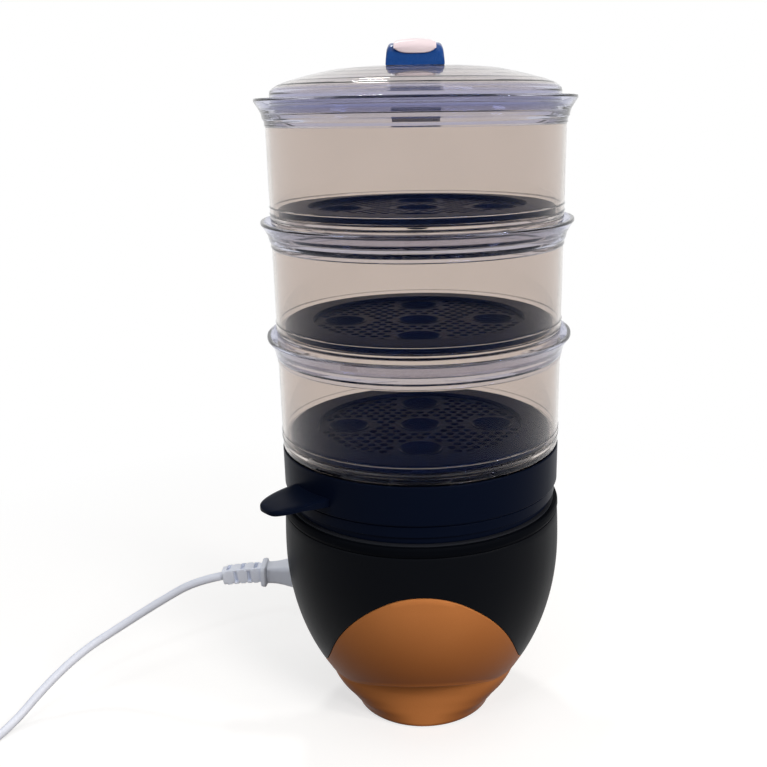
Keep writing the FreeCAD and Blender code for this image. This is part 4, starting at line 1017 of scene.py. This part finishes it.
def connector_mesh():
    """Nose, wide end, waist and finger guard of the moulded connector."""
    front = (
        (16.9, 11.4, 7.4, 1.6), (16.3, 12.0, 8.0, 2.0), (0.1, 12.0, 8.0, 2.0), (0.0, 13.4, 9.9, 3.4),
        (-0.7, 14.0, 10.5, 4.0), (-6.0, 14.0, 10.5, 4.0), (-10.0, 13.7, 10.2, 4.0), (-15.0, 12.4, 9.4, 4.0),
        (-20.0, 10.8, 8.6, 4.0), (-25.0, 9.6, 8.0, 3.8),
    )
    guard = (
        (10.5, 8.9, 7.7, 3.6), (6.0, 8.8, 7.6, 3.6), (5.4, 9.4, 8.0, 3.6), (4.6, 11.4, 9.4, 4.0),
        (3.6, 12.0, 9.8, 4.2), (1.2, 11.8, 9.6, 4.2), (0.3, 11.2, 9.0, 4.0), (0.0, 10.2, 8.2, 3.6),
    )
    steps = [(CONNECTOR_FRONT + x, *block) for x, *block in front]
    steps += [(CONNECTOR_FRONT - CONNECTOR_LENGTH + x, *block) for x, *block in guard]
    rings = []
    for x, *block in steps:
        rings.append((Vector((x, INLET_Y, INLET_LEVEL)), ALONG_Y, ALONG_Z, rounded_block_loop(*block)))
    return swept("connector_form", rings)


def relief_mesh():
    """The boot behind the guard: a rounded square, cut by slots at its sides and across its top and foot."""
    edges = [0.0]
    for middle in (0.145, 0.31, 0.477, 0.654, 0.834):
        edges += [middle - 0.04, middle + 0.04]
    edges.append(1.0)
    meshes = []
    for index in range(len(edges) - 1):
        first, last = edges[index], edges[index + 1]
        if index % 2 == 0:
            meshes.append(relief_band(first, last))
        else:
            meshes.append(relief_web(first - 0.02, last + 0.02, index % 4 == 3))
    return merged("relief_form", meshes, 35.0)


def relief_half(share):
    return 7.0 - 0.4 * share


def relief_band(first, last):
    """A full stretch of the boot, with rounded ends."""
    soft = 0.016
    ends = ((first, 0.55), (first + 0.4 * soft, 0.16), (first + soft, 0.0),
            (last - soft, 0.0), (last - 0.4 * soft, 0.16), (last, 0.55))
    rings = []
    for share, shrink in ends:
        place, heading = relief_place(share)
        half = relief_half(share) - shrink
        rings.append((place, ALONG_Y, ALONG_Y.cross(heading), rounded_block_loop(half, half, 3.0 - shrink)))
    return swept("band", rings)


def relief_web(first, last, sideways):
    """The thinner stretch inside a pair of slots: two bridges joined by a web."""
    rings = []
    for share in (first, last):
        place, heading = relief_place(share)
        half = relief_half(share)
        loop = rounded([
            (-half, -half, 2.8), (half, -half, 2.8), (half, -4.9, 0.4), (3.6, -4.9, 0.6), (3.6, 4.9, 0.6),
            (half, 4.9, 0.4), (half, half, 2.8), (-half, half, 2.8), (-half, 4.9, 0.4), (-3.6, 4.9, 0.6),
            (-3.6, -4.9, 0.6), (-half, -4.9, 0.4),
        ], 5)
        side, up = ALONG_Y, ALONG_Y.cross(heading)
        if not sideways:
            side, up = up, -side
        rings.append((place, side, up, loop))
    return swept("web", rings)


# ---------------------------------------------------------------- timer knob and plug
def dial_marks():
    """Minute marks round the timer's knob, printed on its seat: a long one at each quarter of an hour."""
    marks = []
    for step in range(13):
        angle = math.radians(90.0 + 25.0 * step)
        ray = Vector((math.cos(angle), 0, math.sin(angle)))
        cross = Vector((-math.sin(angle), 0, math.cos(angle)))
        long_mark = step % 3 == 0
        centre = Vector((0, DIAL_SEAT + 0.06, DIAL_LEVEL)) + ray * (23.8 if long_mark else 24.1)
        half_length, half_width = (0.95, 0.32) if long_mark else (0.6, 0.2)
        for a, b in ((-1, -1), (1, -1), (1, 1), (-1, 1)):
            marks.append(tuple(centre + ray * a * half_length + cross * b * half_width))
    faces = [(k, k + 1, k + 2, k + 3) for k in range(0, len(marks), 4)]
    return mesh_of("dial_marks", marks, faces)


def knob_line():
    """The white line on the knob's bar that points at the marks."""
    half, y = 0.7, DIAL_SEAT + 15.35
    low, high = DIAL_LEVEL + 6.0, DIAL_LEVEL + 16.5
    corners = [(-half, y, low), (half, y, low), (half, y, high), (-half, y, high)]
    return mesh_of("knob_line", corners, [(0, 1, 2, 3)])


# ---------------------------------------------------------------- putting the pieces in place
upper, lower, collar = housing()
piece("upper_shell", upper, "navy_plastic", "base", "base_body")
piece("lower_shell", lower, "copper_paint", "base", "copper_shell")
piece("collar_ring", collar, "navy_collar", "base", "base_collar", slot="navy_plastic")
piece("drip_tray_form", drip_tray_mesh(), "navy_tray", "drip_tray", "drip_tray")
bowl_form = bowl_mesh()
tray_form = tray_mesh()
for number in ("1", "2", "3"):
    bottom = FIRST_BOWL + (int(number) - 1) * BOWL_PITCH
    bowl, tray = shifted(bowl_form.copy(), 0, 0, bottom), shifted(tray_form.copy(), 0, 0, bottom + TRAY_SEAT)
    piece("bowl_form_" + number, bowl, "clear_plastic", "bowl_" + number, "bowl_" + number)
    piece("tray_form_" + number, tray, "navy_plate", "tray_" + number, "tray_" + number, slot="navy_tray")
piece("lid_form", lid_mesh(), "clear_lid", "lid", "lid", slot="clear_plastic")
piece("handle_form", handle_mesh(), "navy_blue", "lid", "lid_handle")
piece("inset_form", inset_mesh(), "pink_cream", "lid", "handle_inset")
piece("connector_form", connector_mesh(), "white_plastic", "lead", "connector")
relief = piece("relief_form", relief_mesh(), "white_plastic", "lead", "strain_relief")
piece("dial_marks", dial_marks(), "dial_print", "base", slot="white_plastic")
piece("knob_line", knob_line(), "dial_print", "timer", slot="white_plastic")

CAD_FINISH = {
    "steel": ("heating_plate", "heating_element", "clamp_ring", "clamp_screws", "base_screws", "timer_screws",
              "handle_screws"),
    "aluminium": ("thermostat", "thermal_fuse"),
    "brass": ("timer_shaft", "inlet_pins", "plug_pins"),
    "grey_plastic": ("reservoir", "steam_sleeve"),
    "black_plastic": ("base_plate", "timer_body", "inlet_socket"),
    "white_plastic": ("terminal_block", "pilot_lamp", "mains_plug"),
    "navy_plastic": ("timer_knob",),
    "rubber": ("rubber_feet",),
    "silicone": ("reservoir_seal",),
    "red_lens": ("pilot_lens",),
}
for finish, names in CAD_FINISH.items():
    for name in names:
        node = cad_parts[name]
        node.data.materials.clear()
        node.data.materials.append(FINISH[finish])


# ---------------------------------------------------------------- floor, backdrop and lamps
LAMPS = (  # name, place, aim, size, power and colour
    ("ceiling", (0.0, -0.3, 1.9), (0, 0, 0.3), 1.2, 7.0, (1.0, 0.97, 0.93)),
    ("front", (0.95, -1.5, 1.3), (0, 0, 0.2), 0.7, 20.0, (1.0, 0.96, 0.92)),
    ("window", (1.6, -0.9, 0.9), (0, 0, 0.2), 0.3, 12.0, (1.0, 0.94, 0.88)),
    ("fill", (-1.5, -1.0, 0.8), (0, 0, 0.15), 0.4, 4.5, (0.95, 0.97, 1.0)),
    ("back", (-0.3, 1.2, 1.9), (0, 0, 0.3), 0.25, 10.0, (1.0, 0.98, 0.95)),
    ("spark", (-0.5, -1.1, 1.0), (0, 0, 0.4), 0.03, 1.5, (0.95, 0.97, 1.0)),
)
WHITE = (1, 1, 1, 1)


def emptied(owner):
    """The recipe of a material or world, with its nodes taken out."""
    owner.use_nodes = True
    owner.node_tree.nodes.clear()
    return Recipe(owner.node_tree)


def seen(recipe):
    """One where the background is looked at, also in a mirror or through glass, and nought where it lights."""
    path = recipe.node("ShaderNodeLightPath").outputs
    bent = recipe.math("MAXIMUM", path["Is Glossy Ray"], path["Is Transmission Ray"])
    return recipe.math("MAXIMUM", path["Is Camera Ray"], bent)


def floor_finish():
    """Dull to the light; to the eye pale near the object, where its shadow falls, and white further out."""
    material = bpy.data.materials.new("floor")
    recipe = emptied(material)
    place = recipe.place()
    away = recipe.node("ShaderNodeVectorMath", {0: place}, operation="LENGTH").outputs["Value"]
    far = recipe.spread(away, 0.25, 0.75)
    dull = recipe.node("ShaderNodeBsdfDiffuse", {"Color": (0.13, 0.11, 0.095, 1)})
    pale = recipe.node("ShaderNodeBsdfDiffuse", {"Color": (0.5, 0.5, 0.5, 1)})
    lift = recipe.node("ShaderNodeEmission", {"Color": WHITE, "Strength": 0.62})
    near = recipe.node("ShaderNodeAddShader", {0: pale.outputs[0], 1: lift.outputs[0]})
    white = recipe.node("ShaderNodeEmission", {"Color": WHITE, "Strength": 1.0})
    bright = recipe.node("ShaderNodeMixShader", {0: far, 1: near.outputs[0], 2: white.outputs[0]})
    mixed = recipe.node("ShaderNodeMixShader", {0: seen(recipe), 1: dull.outputs[0], 2: bright.outputs[0]})
    recipe.node("ShaderNodeOutputMaterial", {"Surface": mixed.outputs[0]})
    return material


def backdrop():
    """A world that is white to the eye and gives the object little light."""
    world = bpy.data.worlds.new("world")
    recipe = emptied(world)
    dim = recipe.node("ShaderNodeBackground", {"Color": (1.0, 0.97, 0.94, 1), "Strength": 0.18})
    white = recipe.node("ShaderNodeBackground", {"Color": WHITE, "Strength": 1.0})
    mixed = recipe.node("ShaderNodeMixShader", {0: seen(recipe), 1: dim.outputs[0], 2: white.outputs[0]})
    recipe.node("ShaderNodeOutputWorld", {"Surface": mixed.outputs[0]})
    return world


def studio():
    """Floor, backdrop and lamps."""
    scene = bpy.context.scene
    scene.view_settings.view_transform = "Standard"
    scene.world = backdrop()
    half = 6.0
    mesh = bpy.data.meshes.new("floor")
    mesh.from_pydata([(-half, -half, 0), (half, -half, 0), (half, half, 0), (-half, half, 0)], [], [(0, 1, 2, 3)])
    mesh.materials.append(floor_finish())
    floor = bpy.data.objects.new("floor", mesh)
    scene.collection.objects.link(floor)
    for name, place, aim, size, power, colour in LAMPS:
        data = bpy.data.lights.new(name, "AREA")
        data.shape = "DISK"
        data.size = size
        data.energy = power
        data.color = colour
        lamp = bpy.data.objects.new(name, data)
        scene.collection.objects.link(lamp)
        lamp.location = place
        lamp.rotation_euler = (Vector(aim) - Vector(place)).to_track_quat("-Z", "Y").to_euler()


studio()
